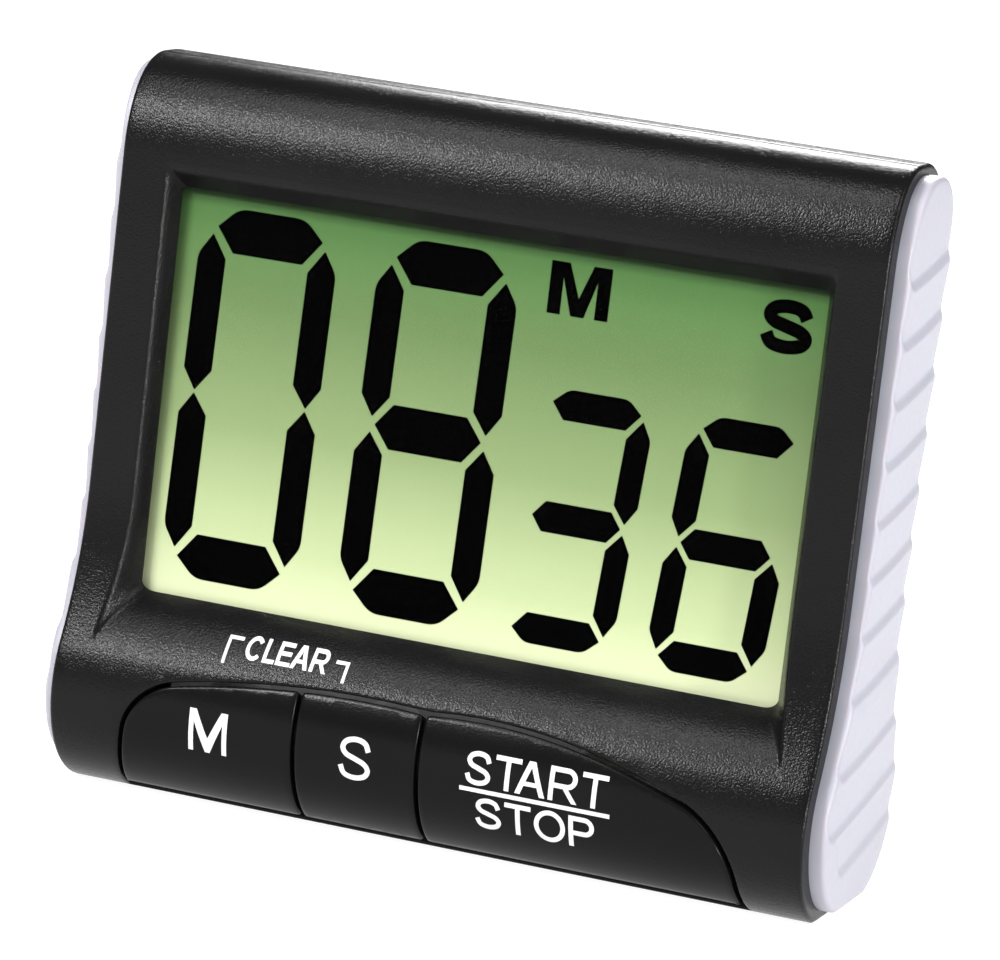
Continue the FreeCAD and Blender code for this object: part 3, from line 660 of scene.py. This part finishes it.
def case_skin(u, length, sunk, push):
    """Outer and inner sheets of a case moulding over its grid."""
    x, down = lateral(u)
    y, z, _ = CASE.at(length)
    back = push(x, y, z)
    beyond = np.maximum(np.abs(x) - SQUEEZE_FROM, 0)
    pulled = np.sign(x) * (np.abs(x) - beyond * SHELL / (HALF - SQUEEZE_FROM))
    below = SHELL + down * (END_DEPTH - SHELL) / END_DEPTH
    return laid(x, length, down + sunk, back), laid(pulled, length, below, back)


def open_borders(lines, radius):
    """Grid lines and sunk amounts with a rounded edge at both ends of the lines."""
    low, high = lines[0], lines[-1]
    middle = [v for v in lines if low + radius * 1.4 < v < high - radius * 1.4]
    steps = edge_steps(radius)
    values = [low + d for d, _ in steps] + middle + [high - d for d, _ in reversed(steps)]
    amounts = [s for _, s in steps] + [0] * len(middle) + [s for _, s in reversed(steps)]
    return values, amounts


def moulding(us, lengths, holes, push):
    """Case moulding: a grid bent round the case, with rounded holes and borders."""
    lengths, amounts = open_borders(lengths, BORDER_ROUND)
    points = grid(us, lengths)
    sunk = np.repeat(amounts, len(us))
    sheet = Sheet()
    free = np.ones(len(points), bool)
    for ring, radius, margin in holes:
        outermost = sheet.lip(ring, radius)
        free &= ~inside(points, outermost) & (distance_to(outermost, points, margin) >= margin)
    sheet.add(points[free], sunk[free])
    flat, sunk, triangles = sheet.weave(
        lambda centres: ~np.any([inside(centres, ring) for ring, _, _ in holes], axis=0))
    outer, inner = case_skin(flat[:, 0], flat[:, 1], sunk, push)
    return outer, inner, triangles


def square_off(outer, inner, ring):
    """Run the upper wall of an opening straight back, the way the keys travel."""
    edge = np.column_stack([ring[:, 0], CASE.at(ring[:, 1])[1]])
    apart = distance_to(edge[::2], outer[:, ::2], WALL_EASE)
    share = (1 - apart / WALL_EASE) * (outer[:, 2] > FOOT_Z)
    inner += (outer + (0, SHELL, 0) - inner) * share[:, None]


def front_shell():
    """Front moulding with its brow, rails, drafted recess and key opening."""
    # The grid is finer over the recess's side walls, the foot and the window's top edge.
    us = lateral_lines((30.6, 35.4, 0.2), (35.4, HALF - RIM, 0.55))
    lengths = graded(0, CASE.front_end, SKIN_PITCH,
                     (CASE.front_at(13.0), CASE.front_at(21.5), 0.32),
                     (CASE.front_at(57.6), CASE.front_at(61.6), 0.2))
    panel = resample(rounded(key_panel(APERTURE_END)[::4], 0.0), PANEL_PITCH)
    holes = [(window_ring(), 0, 0.16), (panel, 0.22, 0.14)]
    outer, inner, triangles = moulding(us, lengths, holes, recess_push)
    x, _, z = inner.T
    behind = ((np.abs(x) < WINDOW_HIGH.x + WINDOW_ROOM) & (z > WINDOW_LOW.z - WINDOW_ROOM)
              & (z < WINDOW_HIGH.z + WINDOW_ROOM))
    inner[behind, 1] = np.minimum(inner[behind, 1], RECESS)
    square_off(outer, inner, panel)
    piece = shell_mesh("front_shell_skin", outer, inner, triangles)
    return dress(piece, "case", "case_black", "front_shell")


# ---- rear cover

BAY_HALF, BAY_FRONT, BAY_ROOF, BAY_WALL, BAY_SKIN = 26.0, 8.05, 14.9, 1.0, 0.9
DOOR_LOW, DOOR_HIGH = edges_of("battery_door")
DOOR_WALL = 1.3
DOOR_ROUND = 0.25
SCOOP_CENTRE = 3.4
SCOOP_HALF_WIDTH, SCOOP_HALF_HEIGHT, SCOOP_DEPTH = 7.4, 2.4, 0.55
RIB_HEIGHT, RIB_PITCH = 0.32, 1.1
MAGNET_X = 22.0
MAGNET_LOW, MAGNET_HIGH = edges_of("magnets")
MAGNET_Z = (MAGNET_LOW.z + MAGNET_HIGH.z) / 2
MAGNET_RADIUS = (MAGNET_HIGH.z - MAGNET_LOW.z) / 2
SOUND_Z = sum(corner.z for corner in edges_of("piezo_disc")) / 2
SCREW_LOW, SCREW_HIGH = edges_of("case_screws")
SCREW_HEAD = 1.75
SCREW_X = SCREW_HIGH.x - SCREW_HEAD
SCREW_ZS = (SCREW_LOW.z + SCREW_HEAD, SCREW_HIGH.z - SCREW_HEAD)
SINK_RADIUS = SCREW_HEAD + 0.2
WELL_BORE, WELL_WALL, CUP_WALL = 0.95, 0.6, 1.1
POCKET_GAP = 0.1
SOUND_XS, SOUND_RADIUS = (-3.0, 0.0, 3.0), 0.7
KEYHOLE_Z = 53.0
KEYHOLE_RADIUS = 3.5
SLOT_RADIUS = 1.8
SLOT_RISE = 5.5


def on_rear(ring):
    """A ring in x and z as x and length along the back."""
    return np.column_stack([ring[:, 0], CASE.rear_at(ring[:, 1])])


def keyhole_ring():
    """Round hole with a narrow slot above it, which hangs on a nail."""
    meet = math.asin(SLOT_RADIUS / KEYHOLE_RADIUS)
    low = [(KEYHOLE_RADIUS * math.cos(t), KEYHOLE_Z + KEYHOLE_RADIUS * math.sin(t))
           for t in np.linspace(RIGHT_ANGLE + meet, 2 * math.pi + RIGHT_ANGLE - meet, 48)]
    high = [(SLOT_RADIUS * math.cos(t), KEYHOLE_Z + SLOT_RISE + SLOT_RADIUS * math.sin(t))
            for t in np.linspace(0, math.pi, 20)]
    return resample(np.array(low + high), 0.3)


def door_ring(margin, radius):
    """The battery door's outline in x and length, grown by a margin."""
    half = DOOR_HIGH.x + margin
    top = float(CASE.rear_at(DOOR_HIGH.z)) - margin
    low = float(CASE.rear_at(DOOR_LOW.z)) + margin
    corners = [(-half, top), (half, top), (half, low), (-half, low)]
    return rounded(corners, radius, 8)


def rear_holes():
    """Holes of the rear cover: ring, rounding and clear margin."""
    holes = [(resample(door_ring(0.25, 0.9), 0.4), 0.2, 0.22), (on_rear(keyhole_ring()), 0.25, 0.2)]
    for side in (-1, 1):
        pocket = circle(side * MAGNET_X, MAGNET_Z, MAGNET_RADIUS + POCKET_GAP, 96)
        holes.append((on_rear(pocket), 0.2, 0.25))
        for z in SCREW_ZS:
            holes.append((on_rear(circle(side * SCREW_X, z, SINK_RADIUS)), 0.2, 0.2))
    for x in SOUND_XS:
        holes.append((on_rear(circle(x, SOUND_Z, SOUND_RADIUS, 24)), 0.15, 0.12))
    return holes


def rear_cover():
    """Rear moulding with its hanging slot, magnet pockets, openings of the screw wells, sound holes
    and the battery door's opening; the wells and battery bay are built on their own.
    """
    us = lateral_lines((30.8, HALF - RIM, 0.55))
    lengths = graded(CASE.front_end, CASE.length[-1], SKIN_PITCH,
                     (CASE.rear_at(20), CASE.rear_at(1), 0.7))
    made = moulding(us, lengths, rear_holes(), lambda x, y, z: np.zeros_like(y))
    return dress(shell_mesh("rear_cover_skin", *made), "case", "case_black", "rear_cover")


def wells():
    """Tubes round the case screws and cups behind the magnets."""
    seat = SCREW_HIGH.y - FACE_Y - 1.2
    outside, bore, overlap = SINK_RADIUS + WELL_WALL, WELL_BORE, 0.1
    parts = []
    for z in SCREW_ZS:
        rim = float(CASE.at(CASE.rear_at(z))[0]) - SHELL + overlap
        tube = [(SINK_RADIUS, seat), (SINK_RADIUS, rim), (outside, rim), (outside, PARTING),
                (bore, PARTING), (bore, seat)]
        parts.append(lathe_mesh([(-SCREW_X, z), (SCREW_X, z)], tube))
    low, rim = MAGNET_LOW.y - FACE_Y - 0.05, UPPER_BACK - SHELL + overlap
    outside, bore, centre = MAGNET_RADIUS + 1.2, MAGNET_RADIUS + POCKET_GAP, 0.02
    cup = [(centre, low - CUP_WALL), (outside, low - CUP_WALL), (outside, rim), (bore, rim),
           (bore, low), (centre, low)]
    parts.append(lathe_mesh([(-MAGNET_X, MAGNET_Z), (MAGNET_X, MAGNET_Z)], cup))
    verts, faces = [], []
    for more, loops in parts:
        faces += [[i + len(verts) for i in loop] for loop in loops]
        verts += more
    return dress(solid_mesh("rear_cover_wells", verts, faces), "case", "case_black", "rear_cover")


def battery_bay():
    """Walls round the cell: a roof, a front wall and two ends under the case."""
    inner, roof = BAY_FRONT + BAY_WALL, BAY_ROOF + BAY_WALL
    skin = Profile(BAY_SKIN)
    keep = (skin.length > skin.rear_at(roof)) & (skin.y > BAY_FRONT)
    heel = resample_open(np.column_stack([skin.y, skin.z])[keep], 0.8)
    top, low = (BAY_FRONT, roof), heel[-1][1]
    end = [top] + heel + [(BAY_FRONT, low)]
    section = [top, heel[0], (heel[0][0] + 0.5, BAY_ROOF), (inner, BAY_ROOF), (inner, low),
               (BAY_FRONT, low)]
    verts, faces = [], []
    for shape, left, right in ((section, -BAY_HALF, BAY_HALF),
                               (end, -BAY_HALF - BAY_WALL, -BAY_HALF),
                               (end, BAY_HALF, BAY_HALF + BAY_WALL)):
        first, count = len(verts), len(shape)
        for x in (left, right):
            verts += [(x, y, z) for y, z in shape]
        near_loop = list(range(first, first + count))
        faces += [near_loop, [i + count for i in reversed(near_loop)]]
        faces += [[b, a, a + count, b + count]
                  for a, b in zip(near_loop, near_loop[1:] + near_loop[:1])]
    return dress(solid_mesh("battery_bay", verts, faces), "case", "case_black", "rear_cover")


def resample_open(points, pitch):
    """Evenly spaced points along an open line."""
    length = travelled(*points.T)
    at = np.linspace(0, length[-1], max(3, int(length[-1] / pitch)))
    return list(zip(*(np.interp(at, length, values) for values in points.T)))


def lipped_panel(ring, radius, points, margin):
    """x, length, sunk amounts and triangles of a panel with a rounded edge."""
    sheet = Sheet()
    sheet.fill(points, sheet.lip(ring, radius, outward=False), margin, 0)
    flat, sunk, triangles = sheet.weave(lambda centres: inside(centres, ring))
    return *flat.T, sunk, triangles


def battery_door():
    """Curved door with a ribbed thumb scoop near its top edge."""
    ring = resample(door_ring(0, 0.8), 0.4)
    top, low = ring[:, 1].min(), ring[:, 1].max()
    us = graded(0, DOOR_HIGH.x, 1.0, (0, 8.2, 0.3))
    points = grid(mirrored(us), graded(top, low, 0.25))
    x, length, sunk, triangles = lipped_panel(ring, DOOR_ROUND, points, 0.2)
    up = length - (top + SCOOP_CENTRE)
    reach = np.hypot(x / SCOOP_HALF_WIDTH, up / SCOOP_HALF_HEIGHT)
    scoop = SCOOP_DEPTH * smooth_step((1.0 - reach) / 0.28)
    ribs = RIB_HEIGHT * (0.5 + 0.5 * np.cos(up * 2 * math.pi / RIB_PITCH)) ** 1.5
    ribs = ribs * smooth_step((0.8 - reach) / 0.2)
    piece = shell_mesh("battery_door_skin", laid(x, length, sunk + scoop - ribs),
                       laid(x, length, DOOR_WALL), triangles)
    return dress(piece, "battery_hatch", "case_black", "battery_door")


# ---- keys

KEYS = (("minute", -HALF, KEY_SPLITS[0]), ("second", *KEY_SPLITS), ("start_stop", KEY_SPLITS[1], HALF))


def clipped(ring, bound, sign):
    """Part of a ring with sign * x at most sign * bound."""
    kept = []
    for here, after in zip(ring, np.roll(ring, -1, axis=0)):
        here_in, after_in = sign * here[0] <= sign * bound, sign * after[0] <= sign * bound
        if here_in:
            kept.append(here)
        if here_in != after_in:
            share = (bound - here[0]) / (after[0] - here[0])
            kept.append(here + (after - here) * share)
    return np.array(kept)


def eased(ring, rounds):
    """A dense ring with its corners rounded by averaging."""
    for _ in range(rounds):
        ring = ring / 2 + (np.roll(ring, 1, axis=0) + np.roll(ring, -1, axis=0)) / 4
    return ring


def key_ring(left, right):
    """Outline of one key: the panel less a gap, cut at its neighbours."""
    panel = resample(key_panel(KEY_END - KEY_GAP * 0.9), 0.15)
    ring = clipped(grown(panel, -KEY_GAP), left + KEY_GAP / 2, -1)
    ring = clipped(ring, right - KEY_GAP / 2, 1)
    ring = eased(resample(ring, 0.12), 10)
    return resample(ring, 0.26)


def key(name, left, right):
    """One key: a skin that follows the foot, with rounded edges and deep sides."""
    ring = key_ring(left, right)
    (low_x, low_s), (high_x, high_s) = ring.min(axis=0), ring.max(axis=0)
    points = grid(graded(low_x, high_x, 0.6), graded(low_s, high_s, 0.4))
    x, length, sunk, triangles = lipped_panel(ring, KEY_ROUND, points, 0.18)
    piece = shell_mesh(name + "_key_skin", laid(x, length, sunk - KEY_PROUD),
                       laid(x, length, KEY_DEPTH), triangles)
    return dress(piece, name + "_key", "key_black", name + "_button")


# ---- legends

LETTER_WIDTHS = {"S": 0.8, "T": 0.79, "A": 0.92, "R": 0.88, "O": 0.94, "P": 0.77,
                 "C": 0.88, "L": 0.62, "E": 0.75, "M": 0.95}
LETTER_GAP = 0.1
INK_HEIGHT = 0.02
SINK_IN = 0.002
TIGHT_PAIRS = {"TA": -0.14, "EA": 0.02, "LE": 0.08}
S_LINE = ((0.97, 0.73), (0.83, 0.93), (0.5, 1.0), (0.17, 0.93), (0.05, 0.76), (0.18, 0.6),
          (0.5, 0.505), (0.84, 0.4), (0.98, 0.24), (0.85, 0.07), (0.5, 0.0), (0.14, 0.07),
          (0.0, 0.29))


def ribbon(points, width):
    """Outline of an even stroke along an open line."""
    points = np.asarray(points, float)
    along = np.gradient(points, axis=0)
    side = np.column_stack([-along[:, 1], along[:, 0]])
    side *= width / 2 / np.linalg.norm(along, axis=1)[:, None]
    return np.vstack([points + side, (points - side)[::-1]])


def leg(low_x, low_z, high_x, high_z, width):
    """A slanted stroke with level ends."""
    half = width / 2
    return np.array([(low_x - half, low_z), (low_x + half, low_z),
                     (high_x + half, high_z), (high_x - half, high_z)])


def oval(x, z, across, up, start, end, count=24):
    """Points on an ellipse from one turn to another, in degrees."""
    turn = np.radians(np.linspace(start, end, count))
    return np.column_stack([x + across * np.cos(turn), z + up * np.sin(turn)])


def flowing(points, count=6):
    """A smooth line through points (Catmull-Rom)."""
    points = np.array(points, float)
    ends = np.vstack([2 * points[0] - points[1], points, 2 * points[-1] - points[-2]])
    line = []
    for a, b, c, d in zip(ends, ends[1:], ends[2:], ends[3:]):
        for t in np.linspace(0, 1, count, endpoint=False):
            line.append(b + (c - a) * t / 2 + (2 * a - 5 * b + 4 * c - d) * t ** 2 / 2
                        + (3 * b - a - 3 * c + d) * t ** 3 / 2)
    return np.array(line + [points[-1]])


def letter(sign, wide, tall, width):
    """Outlines of one capital in a box, from strokes of an even width."""
    half, slant = width / 2, width * 1.14
    stem = ribbon([(half, 0), (half, tall)], width)
    middle = wide / 2
    if sign == "T":
        return [ribbon([(0, tall - half), (wide, tall - half)], width),
                ribbon([(middle, 0), (middle, tall)], width)]
    if sign == "L":
        return [stem, ribbon([(0, half), (wide, half)], width)]
    if sign == "E":
        return [stem] + [ribbon([(0, z), (reach, z)], width) for z, reach in
                         ((half, wide), (tall * 0.53, wide * 0.95), (tall - half, wide))]
    if sign == "A":
        return [leg(slant / 2, 0, middle - slant * 0.1, tall, slant),
                leg(wide - slant / 2, 0, middle + slant * 0.1, tall, slant),
                ribbon([(wide * 0.2, tall * 0.33), (wide * 0.8, tall * 0.33)], width * 0.9)]
    if sign in "PR":
        top, low = tall - half, tall * 0.46
        radius = (top - low) / 2
        turn = oval(wide * (1.0 if sign == "P" else 0.96) - half - radius, top - radius,
                    radius, radius, 90, -90)
        shapes = [stem, ribbon(np.vstack([[(0, top)], turn, [(0, low)]]), width)]
        if sign == "R":
            shapes.append(leg(wide - slant / 2, 0, wide * 0.52, low, slant))
        return shapes
    if sign in "OC":
        size = (middle, tall / 2, middle - half, tall / 2 - half * 0.8)
        if sign == "C":
            return [ribbon(oval(*size, 38, 322, 40), width)]
        return [ribbon(oval(*size, -91, 91), width), ribbon(oval(*size, 89, 271), width)]
    if sign == "S":
        line = flowing(S_LINE) * (wide - width, tall - width) + half
        return [ribbon(line, width)]
    edge, notch, slit = width * 1.4, tall * 0.34, tall * 0.72
    return [np.array([(0, 0), (0, tall), (edge, tall), (middle, notch), (wide - edge, tall),
                      (wide, tall), (wide, 0), (wide - width, 0), (wide - width, slit),
                      (middle + half, 0), (middle - half, 0), (width, slit), (width, 0)])]


def word(text, left, right, low, high, width):
    """Outlines of a word that fills a box in x and z."""
    spans = [LETTER_WIDTHS[sign] for sign in text]
    gaps = [TIGHT_PAIRS.get(text[i:i + 2], LETTER_GAP) for i in range(len(text) - 1)]
    scale = (right - left) / (sum(spans) + sum(gaps))
    shapes = []
    for sign, span, gap in zip(text, spans, gaps + [0]):
        shapes += [ring + (left, low) for ring in letter(sign, span * scale, high - low, width)]
        left += (span + gap) * scale
    return shapes


def divided(ring, pitch):
    """A ring with its long edges split and its corners kept."""
    points = []
    for here, after in zip(ring, np.roll(ring, -1, axis=0)):
        count = max(1, math.ceil(np.linalg.norm(after - here) / pitch))
        points += [here + (after - here) * i / count for i in range(count)]
    return np.array(points)


def print_on(name, shapes, lay, body, slot, ink):
    """Outlines, joined where they overlap, laid on a surface as a raised print."""
    rings = [divided(np.asarray(ring, float), 0.35) for ring in shapes]
    sheet = Sheet()
    for ring in rings:
        sheet.add_ring(ring, 0)
    flat, _, triangles = sheet.weave(
        lambda centres: np.any([inside(centres, ring) for ring in rings], axis=0))
    piece = shell_mesh(name, lay(*flat.T, INK_HEIGHT), lay(*flat.T, 0), triangles, 30)
    return dress(piece, body, slot, material=ink)


def on_key(x, z, raised):
    """Points on a key's face."""
    return on_foot(x, z, raised + KEY_PROUD)


def on_foot(x, z, raised):
    """Points on the foot's round front, raised above it."""
    turn = math.pi - np.arcsin((z - FOOT_Z) / FOOT_RADIUS)
    radius = FOOT_RADIUS + raised - SINK_IN
    return np.column_stack([x, FOOT_FRONT + radius * np.cos(turn), FOOT_Z + radius * np.sin(turn)])


def legends():
    """Printed legends of the three keys and of the pair above them."""
    start_stop = [*word("START", 4.83, 18.8, 8.6, 11.8, 0.46),
                  *word("STOP", 5.96, 17.75, 4.4, 7.5, 0.46),
                  ribbon([(4.4, 8.1), (19.2, 8.1)], 0.4)]
    clear = [*word("CLEAR", -19.1, -10.7, 15.75, 17.75, 0.36),
             bracket((-19.6, 17.5), (-21.1, 17.5), (-21.1, 15.1), 0.3),
             bracket((-10.0, 17.1), (-8.65, 17.1), (-8.65, 15.3), 0.3)]
    for name, shapes, lay, body in (
            ("minute", word("M", -23.1, -19.2, 6.5, 10.6, 0.48), on_key, "minute_key"),
            ("second", word("S", -7.8, -4.5, 6.7, 10.9, 0.5), on_key, "second_key"),
            ("start_stop", start_stop, on_key, "start_stop_key"),
            ("clear", clear, on_foot, "case")):
        print_on("legend_" + name, shapes, lay, body, "grip_pale", "legend_ink")


def bracket(tip, corner, foot, width):
    """A level stroke that turns down at its outer end."""
    inward = math.copysign(width, tip[0] - corner[0])
    return np.array([tip, corner, foot, (foot[0] + inward, foot[1]),
                     (corner[0] + inward, corner[1] - width), (tip[0], tip[1] - width)])


# ---- display

LIT = {"0": "abcdef", "8": "abcdefg", "3": "abcdg", "6": "acdefg"}


# Half widths and heights of a digit's parts from its middle, and its bars' width.
DigitSize = namedtuple("DigitSize", "half tip bar inner outer point round_off")
LARGE = DigitSize(half=17.9, tip=5.35, bar=4.28, inner=4.2, outer=7.05, point=5.72, round_off=2.2)
SMALL = DigitSize(half=12.13, tip=4.35, bar=2.9, inner=3.3, outer=5.65, point=4.65, round_off=1.5)


def cross_bar(size, level):
    """Upper, lower or middle bar of a digit, pointed at both ends."""
    half_bar = size.bar / 2
    shoulder = size.tip - half_bar * 0.78
    if level == 0:
        points = [(-size.tip, 0), (-shoulder, half_bar), (shoulder, half_bar),
                  (size.tip, 0), (shoulder, -half_bar), (-shoulder, -half_bar)]
        return rounded(points, 0.05, 3)
    edge, root = size.half, size.half - size.bar
    knee = size.half - size.bar * 0.45
    points = [(-size.tip, knee), (-shoulder + 0.3, edge), (shoulder - 0.3, edge),
              (size.tip, knee), (shoulder - 0.15, root), (-shoulder + 0.15, root)]
    return rounded([(u, v * level) for u, v in points],
                   [0.05, size.round_off, size.round_off, 0.05, 0.05, 0.05], 5)


def side_bar(size, side, level, meets_middle):
    """Left or right bar of the upper or lower half of a digit."""
    end = size.half - size.bar * 0.63
    near_end = 0.17 * size.bar if meets_middle else 0.03 * size.bar
    slope = (size.outer - size.inner) * 0.72
    points = [(size.point, end), (size.outer, end - slope), (size.outer, near_end + slope),
              (size.point, near_end), (size.inner, near_end + slope),
              (size.inner, end - slope * 1.1)]
    return rounded([(side * u, level * v) for u, v in points],
                   [0.04, size.round_off, 0.05, 0.04, 0.05, 0.05], 5)


def digit(figure, x, z, slant, size):
    """Outlines, in x and z, of the bars of a seven-bar digit that are on."""
    lit = LIT[figure]
    made = {"a": cross_bar(size, 1), "d": cross_bar(size, -1), "g": cross_bar(size, 0)}
    for bar, side, level in (("b", 1, 1), ("c", 1, -1), ("e", -1, -1), ("f", -1, 1)):
        made[bar] = side_bar(size, side, level, "g" in lit)
    return [np.column_stack([x + shape[:, 0] + shape[:, 1] * slant, z + shape[:, 1]])
            for bar, shape in made.items() if bar in lit]


def display():
    """Figures and signs of the liquid crystal, just under the window."""
    shapes = [*digit("0", -23.42, 39.2, 0.021, LARGE), *digit("8", -5.22, 39.04, 0.021, LARGE),
              *digit("3", 10.31, 33.29, 0.068, SMALL), *digit("6", 24.94, 33.15, 0.078, SMALL),
              *word("M", 5.04, 11.0, 52.2, 57.1, 1.28), *word("S", 25.6, 30.7, 52.0, 57.0, 1.25)]
    film = edges_of("lcd_front_polarizer")[0].y - FACE_Y - INK_HEIGHT

    def on_film(x, z, raised):
        return np.column_stack([x, np.full_like(x, film - raised), z])

    return print_on("display_figures", shapes, on_film, "case", "polarizer_film", "segment_ink")


# ---- grips

SCALLOPS = ((59.0, 2.9), (53.5, 2.7), (48.0, 2.5), (42.4, 2.3), (37.0, 2.1), (31.8, 1.9),
            (26.4, 1.7), (20.6, 0.7), (13.7, 0.2), (8.2, -0.8), (4.2, 3.4))
SCALLOP_SLOPE = math.atan(0.18)
SCALLOP_ROUND = 1.5
SCALLOP_REACH = 5.6
SCALLOP_DEPTH = 0.42
SCALLOP_STEP = 1.3
SCALLOP_LEAN = 0.45
TOP_SCALLOP_STRETCH = 1.7
GRIP_PITCH = 0.4
GRIP_WALL = 1.05
GRIP_CROWN = 0.2
CROWN_RUN = 3.0


def groove_depth(y, z):
    """Depth of the slanted scallops, which overlap like scales.

    Each has a crisp step along its lower edge and a round front end, and
    fades out upwards.  Its front edge leans forward as it rises.
    """
    depth = np.zeros_like(y)
    cos, sin = math.cos(SCALLOP_SLOPE), math.sin(SCALLOP_SLOPE)
    for foot_z, start in SCALLOPS:
        reach = SCALLOP_REACH * (TOP_SCALLOP_STRETCH if foot_z == SCALLOPS[0][0] else 1.0)
        across = (z - foot_z) * cos - (y - start) * sin
        along = (y - start) * cos + (z - foot_z) * sin + SCALLOP_LEAN * np.maximum(across, 0)
        corner = SCALLOP_ROUND - np.hypot(along - SCALLOP_ROUND, across - SCALLOP_ROUND)
        edge = np.where(along > SCALLOP_ROUND, across, np.where(across < SCALLOP_ROUND, corner, along))
        fade = np.clip(1 - across / reach, 0, 1)
        depth = np.maximum(depth, SCALLOP_DEPTH * smooth_step(edge / SCALLOP_STEP) * fade)
    return depth


def scallop_rows(ring):
    """Points over a ring in slanted rows, close together along the scallops' steps."""
    low, high = ring.min(axis=0), ring.max(axis=0)
    rise = math.tan(SCALLOP_SLOPE)
    bands = [(z - start * rise - 0.3, z - start * rise + SCALLOP_STEP, 0.17) for z, start in SCALLOPS]
    points = grid(graded(low[0], high[0], GRIP_PITCH),
                  graded(low[1] - 4, high[1] + 4, GRIP_PITCH, *bands))
    points[:, 1] += points[:, 0] * rise
    return points


def grip(name, side):
    """Soft side cap with a rounded rim and slanted scallops."""
    rise = GRIP_HIGH.x - HALF
    radius = rise - GRIP_WALL - GRIP_CROWN
    sheet = Sheet()
    for turn in np.linspace(0, RIGHT_ANGLE, 7):
        inset = GRIP_INSET + radius * (1 - math.cos(turn))
        last = Profile(inset, GRIP_SET_BACK).ring(GRIP_PITCH)
        sheet.add_ring(last, turn)
    outer_ring = sheet.points[0]
    sheet.fill(scallop_rows(outer_ring), last, 0.25, RIGHT_ANGLE)
    flat, turn, triangles = sheet.weave(lambda centres: inside(centres, outer_ring))
    y, z = flat.T
    edge = np.where(turn < RIGHT_ANGLE, 0, distance_to(last[::2], flat, 1e9))
    height = GRIP_WALL + radius * np.sin(turn) + GRIP_CROWN * (1 - np.exp(-edge / CROWN_RUN))
    height -= groove_depth(y, z) * np.sin(turn)
    outer = np.column_stack([side * (HALF + height), y, z])
    inner = np.column_stack([np.full_like(y, side * GRIP_LOW.x), y, z])
    piece = shell_mesh(name + "_skin", outer, inner, triangles, 50)
    return dress(piece, "case", "grip_pale", name)


# ---- finishes of the frame

def finish_frame():
    """Give every carried-over node the finish of its slot in the record."""
    slots = {part["node"]: part["material_slot"] for part in frame["record"]["subparts"]}
    for name, node in frame["nodes"].items():
        node.data.materials.clear()
        node.data.materials.append(MATERIALS[slots[name]])


# ---- camera and studio

YAW = math.radians(19.106)
PITCH = math.radians(-9.986)
ROLL = math.radians(6.674)
DISTANCE = 471.4
AIM = (3.47, 36.47)
LENS = 183.6
WORLD_STRENGTH = 0.12
LIGHT_AIM = Vector((0, 0, 0.035))
LIGHTS = (("key_light", (-0.28, -0.465, 0.37), (0.13, 0.08), 3.9),
          ("overhead_light", (-0.13, -0.27, 0.53), (0.2, 0.12), 1.4),
          ("fill_light", (0.46, -0.2, 0.47), (0.3, 0.3), 1.6),
          ("side_light", (0.6, -0.22, 0.05), (0.08, 0.08), 3.0),
          ("back_light", (-0.1, 0.6, 0.42), (0.3, 0.2), 5.0))
FLOOR_REACH = 6.0
FLOOR_DROP = 0.00005


def camera():
    """Long lens to the right of the display, looking slightly down and rolled."""
    forward = Vector((-math.sin(YAW) * math.cos(PITCH), math.cos(YAW) * math.cos(PITCH),
                      math.sin(PITCH)))
    level = Vector((math.cos(YAW), math.sin(YAW), 0))
    up = level.cross(forward)
    right = level * math.cos(ROLL) + up * math.sin(ROLL)
    up = right.cross(forward)
    data = bpy.data.cameras.new("camera")
    data.lens = LENS
    data.sensor_width = 36.0
    data.clip_start = 0.01
    data.clip_end = 50.0
    holder = bpy.data.objects.new("camera", data)
    bpy.context.scene.collection.objects.link(holder)
    turned = Matrix((right, up, -forward)).transposed().to_4x4()
    aim = Vector((AIM[0], FACE_Y, AIM[1])) * MM
    holder.matrix_world = Matrix.Translation(aim - forward * DISTANCE * MM) @ turned
    bpy.context.scene.camera = holder


def softbox(name, place, size, power):
    """Rectangular area light aimed at the middle of the object."""
    light = bpy.data.lights.new(name, "AREA")
    light.shape = "RECTANGLE"
    light.size, light.size_y = size
    light.energy = power
    holder = bpy.data.objects.new(name, light)
    bpy.context.scene.collection.objects.link(holder)
    holder.location = place
    holder.rotation_euler = (LIGHT_AIM - Vector(place)).to_track_quat("-Z", "Y").to_euler()
    holder.visible_camera = False


def studio():
    """Dim white surroundings, softboxes and a floor that glows like a backdrop."""
    scene = bpy.context.scene
    scene.view_settings.view_transform = "Standard"
    scene.view_settings.look = "None"
    world = bpy.data.worlds.new("studio")
    scene.world = world
    world.use_nodes = True
    background = world.node_tree.nodes["Background"]
    background.inputs["Color"].default_value = (1, 1, 1, 1)
    background.inputs["Strength"].default_value = WORLD_STRENGTH
    for light in LIGHTS:
        softbox(*light)
    mesh = bpy.data.meshes.new("floor")
    corners = ((-1, -1), (1, -1), (1, 1), (-1, 1))
    mesh.from_pydata([(x * FLOOR_REACH, y * FLOOR_REACH, 0) for x, y in corners], [], [(0, 1, 2, 3)])
    floor = bpy.data.objects.new("floor", mesh)
    floor.location.z = -FLOOR_DROP
    scene.collection.objects.link(floor)
    material = surface("floor_paper", (0.3, 0.3, 0.3), 0.85, grain=600, depth=0.01,
                       vary=0.01, specular=0.1, Emission_Color=(1, 1, 1, 1),
                       Emission_Strength=0.95)
    mesh.materials.append(material)


# ---- build

camera()
studio()
finish_frame()
front_shell()
rear_cover()
wells()
battery_bay()
battery_door()
for name_and_ends in KEYS:
    key(*name_and_ends)
legends()
display()
grip("left_side_grip", -1)
grip("right_side_grip", 1)
